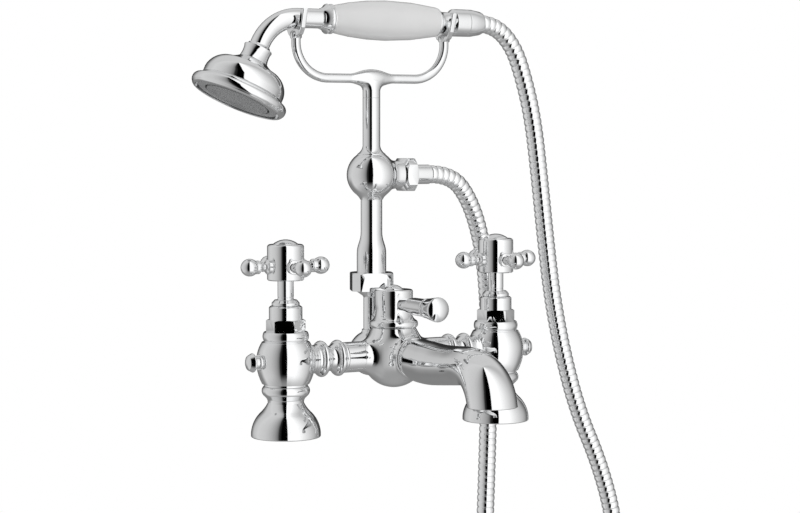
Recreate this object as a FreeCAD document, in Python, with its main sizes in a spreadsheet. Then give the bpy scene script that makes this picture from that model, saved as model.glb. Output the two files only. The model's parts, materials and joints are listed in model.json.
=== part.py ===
"""Deck mounted bath and shower mixer, with its riser, cradle, handset and hose.

Millimetres. X runs from the hot pillar to the cold one, -Y is the spout side and +Z is up.
The origin lies midway between the two feet, on the deck.
"""

import FreeCAD
import Part
import Sketcher
import math
import os

from FreeCAD import Placement, Rotation, Vector

os.makedirs("parts", exist_ok=True)
doc = FreeCAD.newDocument("bath_shower_mixer")

SIZES = {
    # inlet pillars
    "inlet_spacing": 180.0,
    "axis_level": 55.5,
    "foot_radius": 25.5,
    "foot_edge": 3.2,
    "foot_chamfer": 0.7,
    "bell_knee_radius": 19.3,
    "bell_knee_level": 17.2,
    "bell_crown": 23.0,
    "bell_hollow": 26.0,
    "bell_neck_radius": 13.15,
    "bell_neck_level": 25.2,
    "bell_neck_height": 1.4,
    "lower_collar_radius": 16.6,
    "lower_collar_base": 30.6,
    "lower_collar_height": 6.9,
    "collar_crown_depth": 0.9,
    "groove_depth": 0.7,
    "egg_radius": 21.0,
    "egg_end_radius": 16.7,
    "egg_half_height": 16.6,
    "egg_rise": 14.2,
    "egg_top_radius": 17.3,
    "upper_groove_height": 0.5,
    "upper_collar_radius": 16.8,
    "upper_collar_height": 6.8,
    "socket_radius": 12.06,
    "socket_depth": 15.0,
    "waterway_radius": 6.5,
    "waterway_depth": 3.0,
    "gland_seat_radius": 9.5,
    "gland_seat_depth": 16.0,
    "stub_root": 12.0,
    "stub_radius": 10.4,
    "stub_reach": 23.5,
    # gland, its hexagon and the spindle nut
    "gland_flats": 25.0,
    "gland_hexagon_height": 8.9,
    "gland_radius": 12.2,
    "gland_height": 10.0,
    "gland_chamfer": 1.1,
    "spindle_nut_radius": 10.2,
    "spindle_nut_top_radius": 8.3,
    "spindle_nut_height": 4.4,
    "spindle_radius": 5.9,
    "spindle_clearance": 0.05,
    "fit_gap": 0.05,
    "disc_height": 2.4,
    "disc_gap": 0.1,
    # crosshead handles
    "hub_radius": 13.45,
    "hub_level": 114.4,
    "hub_height": 26.4,
    "hub_edge": 2.2,
    "hub_lower_edge": 0.8,
    "cross_level": 124.6,
    "cross_collar_radius": 5.4,
    "cross_collar_reach": 15.2,
    "cross_neck_radius": 2.6,
    "cross_bead_radius": 3.3,
    "cross_bead_reach": 18.4,
    "cross_bead_half_width": 1.2,
    "cross_ring_radius": 4.8,
    "cross_ring_reach": 21.6,
    "cross_reach": 28.9,
    "ball_radius": 6.3,
    "button_radius": 11.0,
    "button_rise": 3.6,
    "button_seat_depth": 1.6,
    # side plugs
    "plug_seat_radius": 5.8,
    "plug_seat_reach": 22.2,
    "plug_neck_radius": 4.6,
    "plug_cap_radius": 6.9,
    "plug_cap_start": 25.4,
    "plug_cap_rim": 3.2,
    "plug_dome": 3.2,
    # ringed arms between the pillars and the centre body
    "band_radius": 13.4,
    "band_width": 5.4,
    "band_foot": 11.0,
    "inner_band_reach": 28.6,
    "outer_band_reach": 42.4,
    "waist_radius": 9.2,
    "tube_radius": 11.3,
    "tube_start": 48.0,
    "body_stub_reach": 29.0,
    "body_stub_root": 10.0,
    # centre body
    "body_radius": 24.4,
    "body_neck_radius": 15.3,
    "body_neck_rise": 1.693,
    "body_bore_radius": 11.6,
    "body_bore_depth": 12.0,
    "bulb_offset": 35.0,
    "bulb_level": 51.5,
    "bulb_radius": 19.5,
    "boss_radius": 7.4,
    "boss_top": 71.8,
    # diverter
    "diverter_gap": 0.3,
    "diverter_collar_radius": 18.2,
    "diverter_collar_height": 4.8,
    "diverter_radius": 14.4,
    "diverter_waist_radius": 13.6,
    "diverter_waist_rise": 10.5,
    "diverter_height": 28.2,
    "diverter_edge": 1.6,
    "diverter_spindle_radius": 7.0,
    "diverter_spindle_foot": 0.6,
    "diverter_button_radius": 7.0,
    "diverter_button_rise": 3.4,
    "lever_rise": 17.5,
    "lever_root_radius": 3.8,
    "lever_root_length": 0.4,
    "lever_socket_depth": 4.0,
    "lever_end_radius": 6.6,
    "lever_cone_end": 48.5,
    "lever_cone_crown": 150.0,
    "lever_bead_radius": 7.3,
    "lever_bead_width": 4.0,
    "lever_knob_start": 53.5,
    "lever_knob_foot": 6.4,
    "lever_knob_step": 0.8,
    "lever_knob_root_radius": 7.5,
    "lever_knob_length": 11.8,
    "lever_knob_radius": 9.0,
    "lever_knob_edge": 2.0,
    "lever_knob_round": 1.8,
    "lever_cap_radius": 8.2,
    "lever_cap_rise": 2.7,
    # spout
    "spout_seam": 32.0,
    "spout_root_radius": 14.2,
    "spout_ring_radius": 14.9,
    "spout_ring_width": 3.4,
    "spout_belly_radius": 15.9,
    "spout_belly_reach": 42.0,
    "spout_belly_drop": 0.7,
    "spout_bend_start": 106.0,
    "spout_bend_rise": 0.8,
    "spout_throat_radius": 14.4,
    "spout_outlet_reach": 140.9,
    "spout_outlet_level": 32.0,
    "spout_outlet_radius": 17.6,
    "spout_outlet_edge": 3.0,
    "spout_mouth_radius": 14.6,
    "spout_mouth_depth": 8.0,
    "straightener_height": 6.0,
    # riser
    "riser_pipe_radius": 6.25,
    "riser_bore_radius": 4.3,
    "riser_cone_level": 97.2,
    "riser_flange_radius": 12.6,
    "riser_nut_level": 101.5,
    "riser_nut_flats": 31.4,
    "riser_nut_face": 20.3,
    "riser_nut_height": 13.9,
    "riser_nut_chamfer": 2.6,
    "riser_lower_radius": 11.25,
    "riser_taper_level": 130.0,
    "riser_taper_height": 16.0,
    "riser_taper_bend": 24.0,
    "riser_neck_radius": 8.2,
    "riser_joint_level": 171.0,
    "riser_ball_radius": 18.3,
    "riser_ball_level": 189.8,
    "column_foot_radius": 11.0,
    "column_radius": 6.7,
    "column_flare_height": 7.0,
    "column_flare_bend": 9.0,
    "column_top": 248.6,
    # hose outlet on the riser
    "outlet_stub_radius": 10.8,
    "outlet_stub_start": 10.0,
    "outlet_stub_reach": 27.0,
    "outlet_nut_flats": 25.0,
    "outlet_nut_face": 15.5,
    "outlet_nut_width": 8.5,
    "outlet_nut_chamfer": 2.4,
    "outlet_ferrule_radius": 7.5,
    "outlet_ferrule_end": 50.8,
    # cradle
    "cradle_level": 263.2,
    "cradle_bar_radius": 3.5,
    "cradle_boss_half": 14.5,
    "cradle_boss_radius": 7.0,
    "cradle_stem_level": 254.5,
    "cradle_half_span": 64.0,
    "cradle_corner_radius": 26.5,
    "cradle_arm_top": 292.4,
    "fork_width": 4.4,
    "fork_inner_radius": 9.6,
    "fork_lean": 22.0,
    "fork_prong_rise": 5.6,
    "fork_tip_width": 5.2,
    "fork_tip_round": 1.2,
    "fork_hip_half": 12.5,
    "fork_hip_drop": 9.3,
    "fork_heel_half": 8.4,
    "fork_heel_drop": 14.2,
    "fork_foot_half": 4.2,
    "fork_depth": 16.0,
    "fork_bead_radius": 4.3,
    "seat_gap": 0.3,
    # handset
    "handset_level": 307.5,
    "neck_radius": 7.4,
    "neck_bend_gap": 1.5,
    "neck_bend_radius": 34.0,
    "neck_bend_angle": 65.4,
    "neck_end_run": 3.4,
    "ferrule_gap": 20.0,
    "ferrule_length": 9.2,
    "ferrule_lip": 0.3,
    "ferrule_flare": 5.5,
    "ferrule_radius": 11.4,
    "ferrule_band_radius": 10.7,
    "ferrule_ring_radius": 11.3,
    "ferrule_ring_width": 1.1,
    "grip_back_gap": 8.4,
    "grip_front_radius": 9.9,
    "grip_radius": 15.0,
    "grip_middle": 11.7,
    "grip_back_radius": 11.0,
    "grip_bore_radius": 6.0,
    "tail_radius": 8.0,
    "tail_ring_radius": 10.8,
    "tail_ring_width": 1.4,
    "tail_sleeve_gap": 7.2,
    "tail_sleeve_slope": 3.0,
    "tail_sleeve_length": 11.9,
    "tail_sleeve_radius": 10.6,
    "cone_nut_end_radius": 8.6,
    "cone_nut_length": 10.2,
    # shower head, measured along its own axis from the end of the neck
    "head_collar_lip": 8.2,
    "head_collar_back": 2.0,
    "head_collar_crest": 10.7,
    "head_collar_crest_reach": 1.3,
    "head_collar_waist": 10.2,
    "head_collar_waist_reach": 4.0,
    "head_collar_radius": 11.0,
    "head_collar_end": 8.0,
    "head_slope_radius": 23.5,
    "head_slope_reach": 15.1,
    "head_slope_bend": 60.0,
    "head_shoulder_radius": 31.2,
    "head_shoulder_reach": 26.8,
    "head_shoulder_crown": 16.1,
    "head_wall_reach": 32.3,
    "rim_flare_radius": 35.4,
    "rim_flare_reach": 2.8,
    "rim_flare_bend": 9.0,
    "rim_radius": 36.9,
    "rim_crest_reach": 6.0,
    "rim_crest_bend": 3.6,
    "rim_face_radius": 35.2,
    "rim_face_reach": 9.3,
    "rim_face_bend": 4.0,
    "rim_lip_radius": 31.6,
    "rim_lip_bend": 8.0,
    "rim_height": 10.8,
    "rim_inner_radius": 28.5,
    "rim_chamfer": 1.0,
    "plate_recess": 2.6,
    "plate_edge_groove": 0.9,
    "plate_ring_radius": 20.0,
    "plate_ring_half_width": 0.4,
    "plate_ring_depth": 0.7,
    # hose
    "hose_radius": 7.0,
    "hose_bore_radius": 4.6,
    "hose_rib_depth": 0.9,
    "hose_rib_count": 72.0,
    "hose_end_length": 8.0,
    "hose_exit_run": 20.0,
    "hose_entry_run": 15.7,
}


class Size:
    """A length of the sheet, or a sum or product of some, with its value and its formula."""

    def __init__(self, value, text):
        self.value = float(value)
        self.text = text

    def __add__(self, other):
        other = size(other)
        return Size(self.value + other.value, f"({self.text} + {other.text})")

    def __radd__(self, other):
        return size(other) + self

    def __sub__(self, other):
        other = size(other)
        return Size(self.value - other.value, f"({self.text} - {other.text})")

    def __rsub__(self, other):
        return size(other) - self

    def __mul__(self, other):
        other = size(other)
        return Size(self.value * other.value, f"({self.text} * {other.text})")

    def __rmul__(self, other):
        return size(other) * self

    def __truediv__(self, other):
        other = size(other)
        return Size(self.value / other.value, f"({self.text} / {other.text})")

    def __neg__(self):
        return Size(-self.value, f"(0 - {self.text})")


def size(number):
    """A plain number as a Size, or the Size itself."""
    if isinstance(number, Size):
        return number
    return Size(number, f"{float(number):.9g}" if number >= 0 else f"(0 - {abs(float(number)):.9g})")


def root(number):
    """The square root of a Size."""
    return Size(math.sqrt(number.value), f"sqrt({number.text})")


def sine(angle):
    """The sine of a Size in degrees."""
    return Size(math.sin(math.radians(angle.value)), f"sin({angle.text} * 1 deg)")


def cosine(angle):
    """The cosine of a Size in degrees."""
    return Size(math.cos(math.radians(angle.value)), f"cos({angle.text} * 1 deg)")


def bead(foot, crest, start, end, side=0.3):
    """A rounded band in four straight facets, from `foot` up to `crest` and back to `foot`."""
    middle = (start + end) / 2
    step = (end - start) * 0.17
    shoulder = crest - (crest - foot) * side
    return [(start, foot), (start + step, shoulder), (middle, crest), (end - step, shoulder), (end, foot)]


def upright(points):
    """Swap along and across, for a profile that is turned about the upright axis."""
    return [(across, along) for along, across in points]


def crown(half_width, rise):
    """The radius of an arc over a chord of twice half_width that rises by rise."""
    return (half_width * half_width + rise * rise) / (2 * rise)


sheet = doc.addObject("Spreadsheet::Sheet", "Sizes")
for row, (name, number) in enumerate(SIZES.items(), 1):
    sheet.set(f"A{row}", name)
    sheet.set(f"B{row}", f"{number:g}")
    sheet.setAlias(f"B{row}", name)
doc.recompute()

D = {name: Size(sheet.get(name), f"Sizes.{name}") for name in SIZES}

PIECES = []


def bind(thing, path, number):
    """Tie one property of an object to the sheet."""
    number = size(number)
    thing.setExpression(path, number.text)


def put(thing, x=0, y=0, z=0, turn=None):
    """Place a piece, with each coordinate tied to the sheet."""
    x, y, z = size(x), size(y), size(z)
    thing.Placement = Placement(Vector(x.value, y.value, z.value), turn or Rotation())
    for axis, number in zip("xyz", (x, y, z)):
        if number.text != "0":
            bind(thing, f".Placement.Base.{axis}", number)


def new_body(label):
    """An empty body that is one piece of the mixer."""
    body = doc.addObject("PartDesign::Body", label)
    body.Label = label
    PIECES.append(body)
    return body


def plane(body, role):
    """One of a body's own origin planes."""
    return next(o for o in body.Origin.OriginFeatures if o.Role == role)


def sketch_on(body, name, role="XZ_Plane", at=(0, 0, 0)):
    """A sketch on an origin plane of a body, shifted within it and off it by the three Sizes."""
    drawing = body.newObject("Sketcher::SketchObject", name)
    drawing.AttachmentSupport = [(plane(body, role), "")]
    drawing.MapMode = "FlatFace"
    shift = [size(number) for number in at]
    drawing.AttachmentOffset = Placement(Vector(*[number.value for number in shift]), Rotation())
    for axis, number in zip("xyz", shift):
        if number.text != "0":
            bind(drawing, f".AttachmentOffset.Base.{axis}", number)
    return drawing


def outline(drawing, points):
    """Draw a closed outline whose corners and radii are tied to the sheet.

    Each point is (across, up) or (across, up, radius, side): the last two bend the edge that
    arrives at the point, to the left of its run for side 1 and to the right for side -1.
    """
    corners = [(size(p[0]), size(p[1])) for p in points]
    ends = []
    for i, point in enumerate(points):
        a, b = corners[i - 1], corners[i]
        start = Vector(a[0].value, a[1].value, 0)
        stop = Vector(b[0].value, b[1].value, 0)
        if len(point) == 2:
            number = drawing.addGeometry(Part.LineSegment(start, stop))
            ends.append((number, 1, 2))
            continue
        radius, side = size(point[2]), point[3]
        chord = stop - start
        half = chord.Length / 2
        normal = Vector(-chord.y, chord.x, 0).normalize() * side
        drop = math.sqrt(max(radius.value**2 - half**2, 0))
        centre = (start + stop) * 0.5 - normal * drop
        first, last = (start, stop) if side < 0 else (stop, start)
        begin = math.atan2(first.y - centre.y, first.x - centre.x)
        sweep = (math.atan2(last.y - centre.y, last.x - centre.x) - begin) % (2 * math.pi)
        circle = Part.Circle(centre, Vector(0, 0, 1), radius.value)
        number = drawing.addGeometry(Part.ArcOfCircle(circle, begin, begin + sweep))
        ends.append((number, 1, 2) if side < 0 else (number, 2, 1))
    for i, (number, first, last) in enumerate(ends):
        before = ends[i - 1]
        drawing.addConstraint(Sketcher.Constraint("Coincident", before[0], before[2], number, first))
    for i, (number, first, last) in enumerate(ends):
        for kind, along, value in (("DistanceX", -2, corners[i][0]), ("DistanceY", -1, corners[i][1])):
            if value.text in ("0", "0.0"):
                drawing.addConstraint(Sketcher.Constraint("PointOnObject", number, last, along))
                continue
            index = drawing.addConstraint(
                Sketcher.Constraint(kind, -1, 1, number, last, value.value))
            bind(drawing, f"Constraints[{index}]", value)
        if len(points[i]) > 2:
            radius = size(points[i][2])
            index = drawing.addConstraint(Sketcher.Constraint("Radius", number, radius.value))
            bind(drawing, f"Constraints[{index}]", radius)
    return drawing


def turned(body, name, points, axis="V_Axis", role="XZ_Plane", at=(0, 0, 0), cut=False):
    """Turn an outline about an axis of its own sketch, as added or removed material."""
    drawing = sketch_on(body, name + "_profile", role, at)
    outline(drawing, points)
    kind = "PartDesign::Groove" if cut else "PartDesign::Revolution"
    feature = body.newObject(kind, name)
    feature.Profile = drawing
    feature.ReferenceAxis = (drawing, [axis])
    feature.Angle = 360
    drawing.Visibility = False
    return feature


def circles(drawing, rings):
    """Circles (across, up, radius) tied to the sheet."""
    for across, up, radius in rings:
        across, up, radius = size(across), size(up), size(radius)
        number = drawing.addGeometry(
            Part.Circle(Vector(across.value, up.value, 0), Vector(0, 0, 1), radius.value))
        index = drawing.addConstraint(Sketcher.Constraint("Radius", number, radius.value))
        bind(drawing, f"Constraints[{index}]", radius)
        if across.text == "0" and up.text == "0":
            drawing.addConstraint(Sketcher.Constraint("Coincident", number, 3, -1, 1))
            continue
        for kind, along, value in (("DistanceX", -2, across), ("DistanceY", -1, up)):
            if value.text == "0":
                drawing.addConstraint(Sketcher.Constraint("PointOnObject", number, 3, along))
                continue
            index = drawing.addConstraint(Sketcher.Constraint(kind, -1, 1, number, 3, value.value))
            bind(drawing, f"Constraints[{index}]", value)
    return drawing


def pad(body, name, drawing, length, reverse=False):
    """Pad a sketch by a Size."""
    feature = body.newObject("PartDesign::Pad", name)
    feature.Profile = drawing
    feature.Length = size(length).value
    bind(feature, "Length", length)
    feature.Reversed = reverse
    drawing.Visibility = False
    return feature


def pocket(body, name, drawing, length, reverse=False):
    """Cut a sketch into the body by a Size."""
    feature = body.newObject("PartDesign::Pocket", name)
    feature.Profile = drawing
    feature.Length = size(length).value
    bind(feature, "Length", length)
    feature.Reversed = reverse
    drawing.Visibility = False
    return feature


def swept(body, name, ring, path):
    """Sweep a ring sketch along a path sketch."""
    feature = body.newObject("PartDesign::AdditivePipe", name)
    feature.Profile = ring
    feature.Spine = path
    ring.Visibility = False
    path.Visibility = False
    return feature


def turn_to(axis):
    """The rotation that takes +Z to the given axis name."""
    return {
        "+X": Rotation(Vector(0, 1, 0), 90),
        "-X": Rotation(Vector(0, 1, 0), -90),
        "-Y": Rotation(Vector(1, 0, 0), 90),
        "+Z": Rotation(),
    }[axis]


def flats(body, name, drawing, across, height, hole, sides=6, face=None):
    """A nut blank: a prism with a round hole.

    Six equal sides, or a square whose corners are cut so that its four main faces are `face` wide.
    """
    half = across / 2
    if sides == 6:
        corner = across / Size(math.sqrt(3.0), "sqrt(3)")
        points = [(half, corner / 2), (0, corner), (-half, corner / 2),
                  (-half, -corner / 2), (0, -corner), (half, -corner / 2)]
    else:
        side = face / 2
        points = [(half, -side), (half, side), (side, half), (-side, half),
                  (-half, side), (-half, -side), (-side, -half), (side, -half)]
    outline(drawing, points)
    circles(drawing, [(0, 0, hole)])
    return pad(body, name, drawing, height)


# Levels and lengths that several pieces share.
pitch_half = D["inlet_spacing"] / 2
axis_level = D["axis_level"]
collar_top = D["lower_collar_base"] + D["lower_collar_height"]
egg_base = axis_level - D["egg_half_height"]
egg_top = axis_level + D["egg_rise"]
egg_crown = crown(D["egg_half_height"], D["egg_radius"] - D["egg_end_radius"])
egg_top_crown = crown(D["egg_rise"], D["egg_radius"] - D["egg_top_radius"])
groove_radius = D["egg_end_radius"] - D["groove_depth"]
upper_collar_base = egg_top + D["upper_groove_height"]
pillar_top = upper_collar_base + D["upper_collar_height"]
hexagon_top = pillar_top + D["gland_hexagon_height"]
gland_top = hexagon_top + D["gland_height"]
nut_top = gland_top + D["spindle_nut_height"]
seat_level = pillar_top - D["gland_seat_depth"]
hub_top = D["hub_level"] + D["hub_height"]
spindle_bore = D["spindle_radius"] + D["spindle_clearance"]
shank_radius = D["gland_seat_radius"] - D["fit_gap"]
inward = Rotation(Vector(0, 0, 1), 180)


def pillar(side, x, turn):
    """An inlet pillar: belled foot, two collars, the egg, and stubs for the arm and the plug."""
    body = new_body(f"{side}_pillar")
    outer = D["lower_collar_radius"] - D["collar_crown_depth"]
    upper = D["upper_collar_radius"] - D["collar_crown_depth"]
    neck_end = D["bell_neck_level"] + D["bell_neck_height"]
    turned(body, f"{side}_pillar_turning", [
        (D["socket_radius"], 0),
        (D["foot_radius"] - D["foot_chamfer"], 0),
        (D["foot_radius"], D["foot_chamfer"]),
        (D["foot_radius"], D["foot_edge"]),
        (D["bell_knee_radius"], D["bell_knee_level"], D["bell_crown"], -1),
        (D["bell_neck_radius"], D["bell_neck_level"], D["bell_hollow"], 1),
        (D["bell_neck_radius"], neck_end),
        *upright(bead(outer, D["lower_collar_radius"], D["lower_collar_base"], collar_top)),
        (groove_radius, collar_top),
        (groove_radius, egg_base),
        (D["egg_end_radius"], egg_base),
        (D["egg_radius"], axis_level, egg_crown, -1),
        (D["egg_top_radius"], egg_top, egg_top_crown, -1),
        (groove_radius, egg_top),
        (groove_radius, upper_collar_base),
        *upright(bead(upper, D["upper_collar_radius"], upper_collar_base, pillar_top)),
        (D["gland_seat_radius"], pillar_top),
        (D["gland_seat_radius"], seat_level - D["disc_height"]),
        (0, seat_level - D["disc_height"]),
        (0, D["socket_depth"] + D["waterway_depth"]),
        (D["waterway_radius"], D["socket_depth"] + D["waterway_depth"]),
        (D["waterway_radius"], D["socket_depth"]),
        (D["socket_radius"], D["socket_depth"]),
    ])
    stub = sketch_on(body, f"{side}_arm_stub_ring", "YZ_Plane", (0, 0, D["stub_root"]))
    circles(stub, [(0, axis_level, D["stub_radius"])])
    pad(body, f"{side}_arm_stub", stub, D["stub_reach"] - D["stub_root"])
    seat = sketch_on(body, f"{side}_plug_seat_ring", "YZ_Plane", (0, 0, -D["stub_root"]))
    circles(seat, [(0, axis_level, D["plug_seat_radius"])])
    pad(body, f"{side}_plug_seat", seat, D["plug_seat_reach"] - D["stub_root"], True)
    put(body, x, 0, 0, turn)


def gland(side, x):
    """The headwork: shank in the pillar, hexagon, round gland, and the nut round the spindle."""
    body = new_body(f"{side}_gland")
    blank = sketch_on(body, f"{side}_gland_hexagon_flats", "XY_Plane", (0, 0, pillar_top))
    flats(body, f"{side}_gland_hexagon", blank, D["gland_flats"], D["gland_hexagon_height"],
          spindle_bore)
    corner = D["gland_flats"] / Size(math.sqrt(3.0), "sqrt(3)")
    turned(body, f"{side}_gland_corner_cut", [
        (corner - D["gland_chamfer"], hexagon_top),
        (corner + 1, hexagon_top - D["gland_chamfer"]),
        (corner + 1, hexagon_top),
    ], cut=True)
    turned(body, f"{side}_gland_barrel", [
        (spindle_bore, seat_level),
        (shank_radius, seat_level),
        (shank_radius, pillar_top),
        (D["gland_radius"], pillar_top),
        (D["gland_radius"], gland_top - D["gland_chamfer"]),
        (D["gland_radius"] - D["gland_chamfer"], gland_top),
        (spindle_bore, gland_top),
    ])
    put(body, x)
    body = new_body(f"{side}_spindle_nut")
    turned(body, f"{side}_spindle_nut_turning", [
        (spindle_bore, gland_top),
        (D["spindle_nut_radius"], gland_top),
        (D["spindle_nut_radius"], gland_top + D["spindle_nut_height"] / 2),
        (D["spindle_nut_top_radius"], nut_top),
        (spindle_bore, nut_top),
    ])
    put(body, x)


def discs(side, x):
    """The fixed ceramic disc, seated in the pillar below the gland's shank."""
    body = new_body(f"{side}_fixed_disc")
    turned(body, f"{side}_fixed_disc_turning", [
        (0, seat_level - D["disc_height"]),
        (shank_radius, seat_level - D["disc_height"]),
        (shank_radius, seat_level),
        (0, seat_level),
    ])
    put(body, x)


def crosshead(side, x):
    """One handle: hub with four ball ended arms, its button, its screw and its spindle."""
    body = new_body(f"{side}_crosshead")
    edge = D["hub_edge"]
    low = D["hub_lower_edge"]
    button_seat = D["button_radius"] + D["fit_gap"]
    turned(body, f"{side}_hub", [
        (0, D["hub_level"]),
        (D["hub_radius"] - low, D["hub_level"]),
        (D["hub_radius"], D["hub_level"] + low),
        (D["hub_radius"], hub_top - edge),
        (D["hub_radius"] - edge * 0.3, hub_top - edge * 0.3),
        (D["hub_radius"] - edge, hub_top),
        (button_seat, hub_top),
        (button_seat, hub_top - D["button_seat_depth"]),
        (0, hub_top - D["button_seat_depth"]),
    ])
    reach, ball = D["cross_reach"], D["ball_radius"]
    ring_radius = D["cross_ring_radius"]
    ball_start = reach - root(ball * ball - ring_radius * ring_radius)
    arm = turned(body, f"{side}_cross_arm", [
        (0, 0),
        (0, D["cross_collar_radius"]),
        (D["cross_collar_reach"], D["cross_collar_radius"]),
        (D["cross_bead_reach"] - D["cross_bead_half_width"], D["cross_neck_radius"]),
        (D["cross_bead_reach"], D["cross_bead_radius"]),
        (D["cross_bead_reach"] + D["cross_bead_half_width"], D["cross_neck_radius"]),
        (D["cross_ring_reach"], ring_radius),
        (ball_start, ring_radius),
        (reach + ball, 0, ball, 1),
    ], axis="H_Axis", at=(0, D["cross_level"], 0))
    around = body.newObject("PartDesign::PolarPattern", f"{side}_cross_arms")
    around.Originals = [arm]
    around.Axis = (arm.Profile[0], ["V_Axis"])
    around.Angle = 360
    around.Occurrences = 4
    body.Tip = around
    put(body, x)
    body = new_body(f"{side}_button")
    turned(body, f"{side}_button_turning", [
        (0, hub_top - D["button_seat_depth"]),
        (D["button_radius"], hub_top - D["button_seat_depth"]),
        (D["button_radius"], hub_top),
        (0, hub_top + D["button_rise"], crown(D["button_radius"], D["button_rise"]), -1),
    ])
    put(body, x)
    body = new_body(f"{side}_spindle")
    turned(body, f"{side}_spindle_turning", [
        (0, seat_level + D["disc_gap"]),
        (D["spindle_radius"], seat_level + D["disc_gap"]),
        (D["spindle_radius"], D["hub_level"]),
        (0, D["hub_level"]),
    ])
    put(body, x)


def side_plug(side, x, turn):
    """The domed plug on the outboard side of a pillar."""
    body = new_body(f"{side}_side_plug")
    rim_end = D["plug_cap_start"] + D["plug_cap_rim"]
    turned(body, f"{side}_side_plug_turning", [
        (0, D["plug_seat_reach"]),
        (D["plug_neck_radius"], D["plug_seat_reach"]),
        (D["plug_neck_radius"], D["plug_cap_start"]),
        (D["plug_cap_radius"], D["plug_cap_start"] + 0.8),
        (D["plug_cap_radius"], rim_end),
        (0, rim_end + D["plug_dome"], crown(D["plug_cap_radius"], D["plug_dome"]), -1),
    ])
    put(body, x, 0, axis_level, turn)


def ringed_arm(side, x, turn):
    """The arm from a pillar to the centre body, with its two bands and the waist between."""
    body = new_body(f"{side}_arm")
    half = D["band_width"] / 2
    foot, crest = D["band_foot"], D["band_radius"]
    inner, outer = D["inner_band_reach"], D["outer_band_reach"]
    middle = (inner + outer) / 2
    hollow = (outer - inner) / 4 - half / 2
    near_waist = D["waist_radius"] + (foot - D["waist_radius"]) * 0.3
    turned(body, f"{side}_arm_turning", [
        (0, D["stub_reach"]),
        (D["stub_radius"], D["stub_reach"]),
        *upright(bead(foot, crest, inner - half, inner + half)),
        (near_waist, middle - hollow),
        (D["waist_radius"], middle),
        (near_waist, middle + hollow),
        *upright(bead(foot, crest, outer - half, outer + half)),
        (D["tube_radius"] - 0.1, (outer + half + D["tube_start"]) / 2),
        (D["tube_radius"], D["tube_start"]),
        (D["tube_radius"], pitch_half - D["body_stub_reach"]),
        (0, pitch_half - D["body_stub_reach"]),
    ])
    put(body, x, 0, axis_level, turn)


LEFT, RIGHT = turn_to("-X"), turn_to("+X")
for side, sign, turn, outward, home in (
    ("hot", -1, Rotation(), LEFT, RIGHT),
    ("cold", 1, inward, RIGHT, LEFT),
):
    x = pitch_half * sign
    pillar(side, x, turn)
    gland(side, x)
    discs(side, x)
    crosshead(side, x)
    side_plug(side, x, outward)
    ringed_arm(side, x, home)

# Centre body: a ball with a neck for the diverter, stubs for both arms and the spout, and a
# smaller bulb behind it that feeds the riser.
body = new_body("centre_body")
body_radius, neck_radius = D["body_radius"], D["body_neck_radius"]
body_join = axis_level + root(body_radius * body_radius - neck_radius * neck_radius)
neck_top = body_join + D["body_neck_rise"]
bore_floor = neck_top - D["body_bore_depth"]
turned(body, "body_ball", [
    (0, axis_level - body_radius),
    (neck_radius, body_join, body_radius, -1),
    (neck_radius, neck_top),
    (D["body_bore_radius"], neck_top),
    (D["body_bore_radius"], bore_floor),
    (0, bore_floor),
])
stub_start = body_radius - D["body_stub_root"]
for sign, name in ((1, "cold"), (-1, "hot")):
    ring = sketch_on(body, f"{name}_body_stub_ring", "YZ_Plane", (0, 0, stub_start * sign))
    circles(ring, [(0, axis_level, D["tube_radius"])])
    pad(body, f"{name}_body_stub", ring, D["body_stub_reach"] - stub_start, sign < 0)
spout_ring_start = D["spout_seam"] - D["spout_ring_width"]
turned(body, "spout_stub", [
    (-stub_start, 0),
    (-stub_start, D["spout_root_radius"] - 1),
    (-spout_ring_start, D["spout_root_radius"] - 1),
    (-spout_ring_start, 0),
], axis="H_Axis", role="YZ_Plane", at=(0, axis_level, 0))
bulb_radius, boss_radius = D["bulb_radius"], D["boss_radius"]
bulb_join = D["bulb_level"] + root(bulb_radius * bulb_radius - boss_radius * boss_radius)
turned(body, "rear_bulb", [
    (0, D["bulb_level"] - bulb_radius),
    (boss_radius, bulb_join, bulb_radius, -1),
    (boss_radius, D["boss_top"]),
    (0, D["boss_top"]),
], at=(0, 0, -D["bulb_offset"]))
put(body)

# Diverter: a bush in the body's neck, and a bell shaped knob with a lever over the spout.
body = new_body("diverter_bush")
bush_bore = D["diverter_spindle_radius"] + D["spindle_clearance"]
turned(body, "diverter_bush_turning", [
    (bush_bore, bore_floor),
    (D["body_bore_radius"] - D["fit_gap"], bore_floor),
    (D["body_bore_radius"] - D["fit_gap"], neck_top),
    (bush_bore, neck_top),
])
put(body)

knob_base = neck_top + D["diverter_gap"]
waist_level = knob_base + D["diverter_waist_rise"]
lever_level = knob_base + D["lever_rise"]
knob_top = knob_base + D["diverter_height"]
collar_end = knob_base + D["diverter_collar_height"]
body = new_body("diverter_spindle")
turned(body, "diverter_spindle_turning", [
    (0, bore_floor + D["diverter_spindle_foot"]),
    (D["diverter_spindle_radius"], bore_floor + D["diverter_spindle_foot"]),
    (D["diverter_spindle_radius"], knob_base),
    (0, knob_base),
])
put(body)

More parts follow.
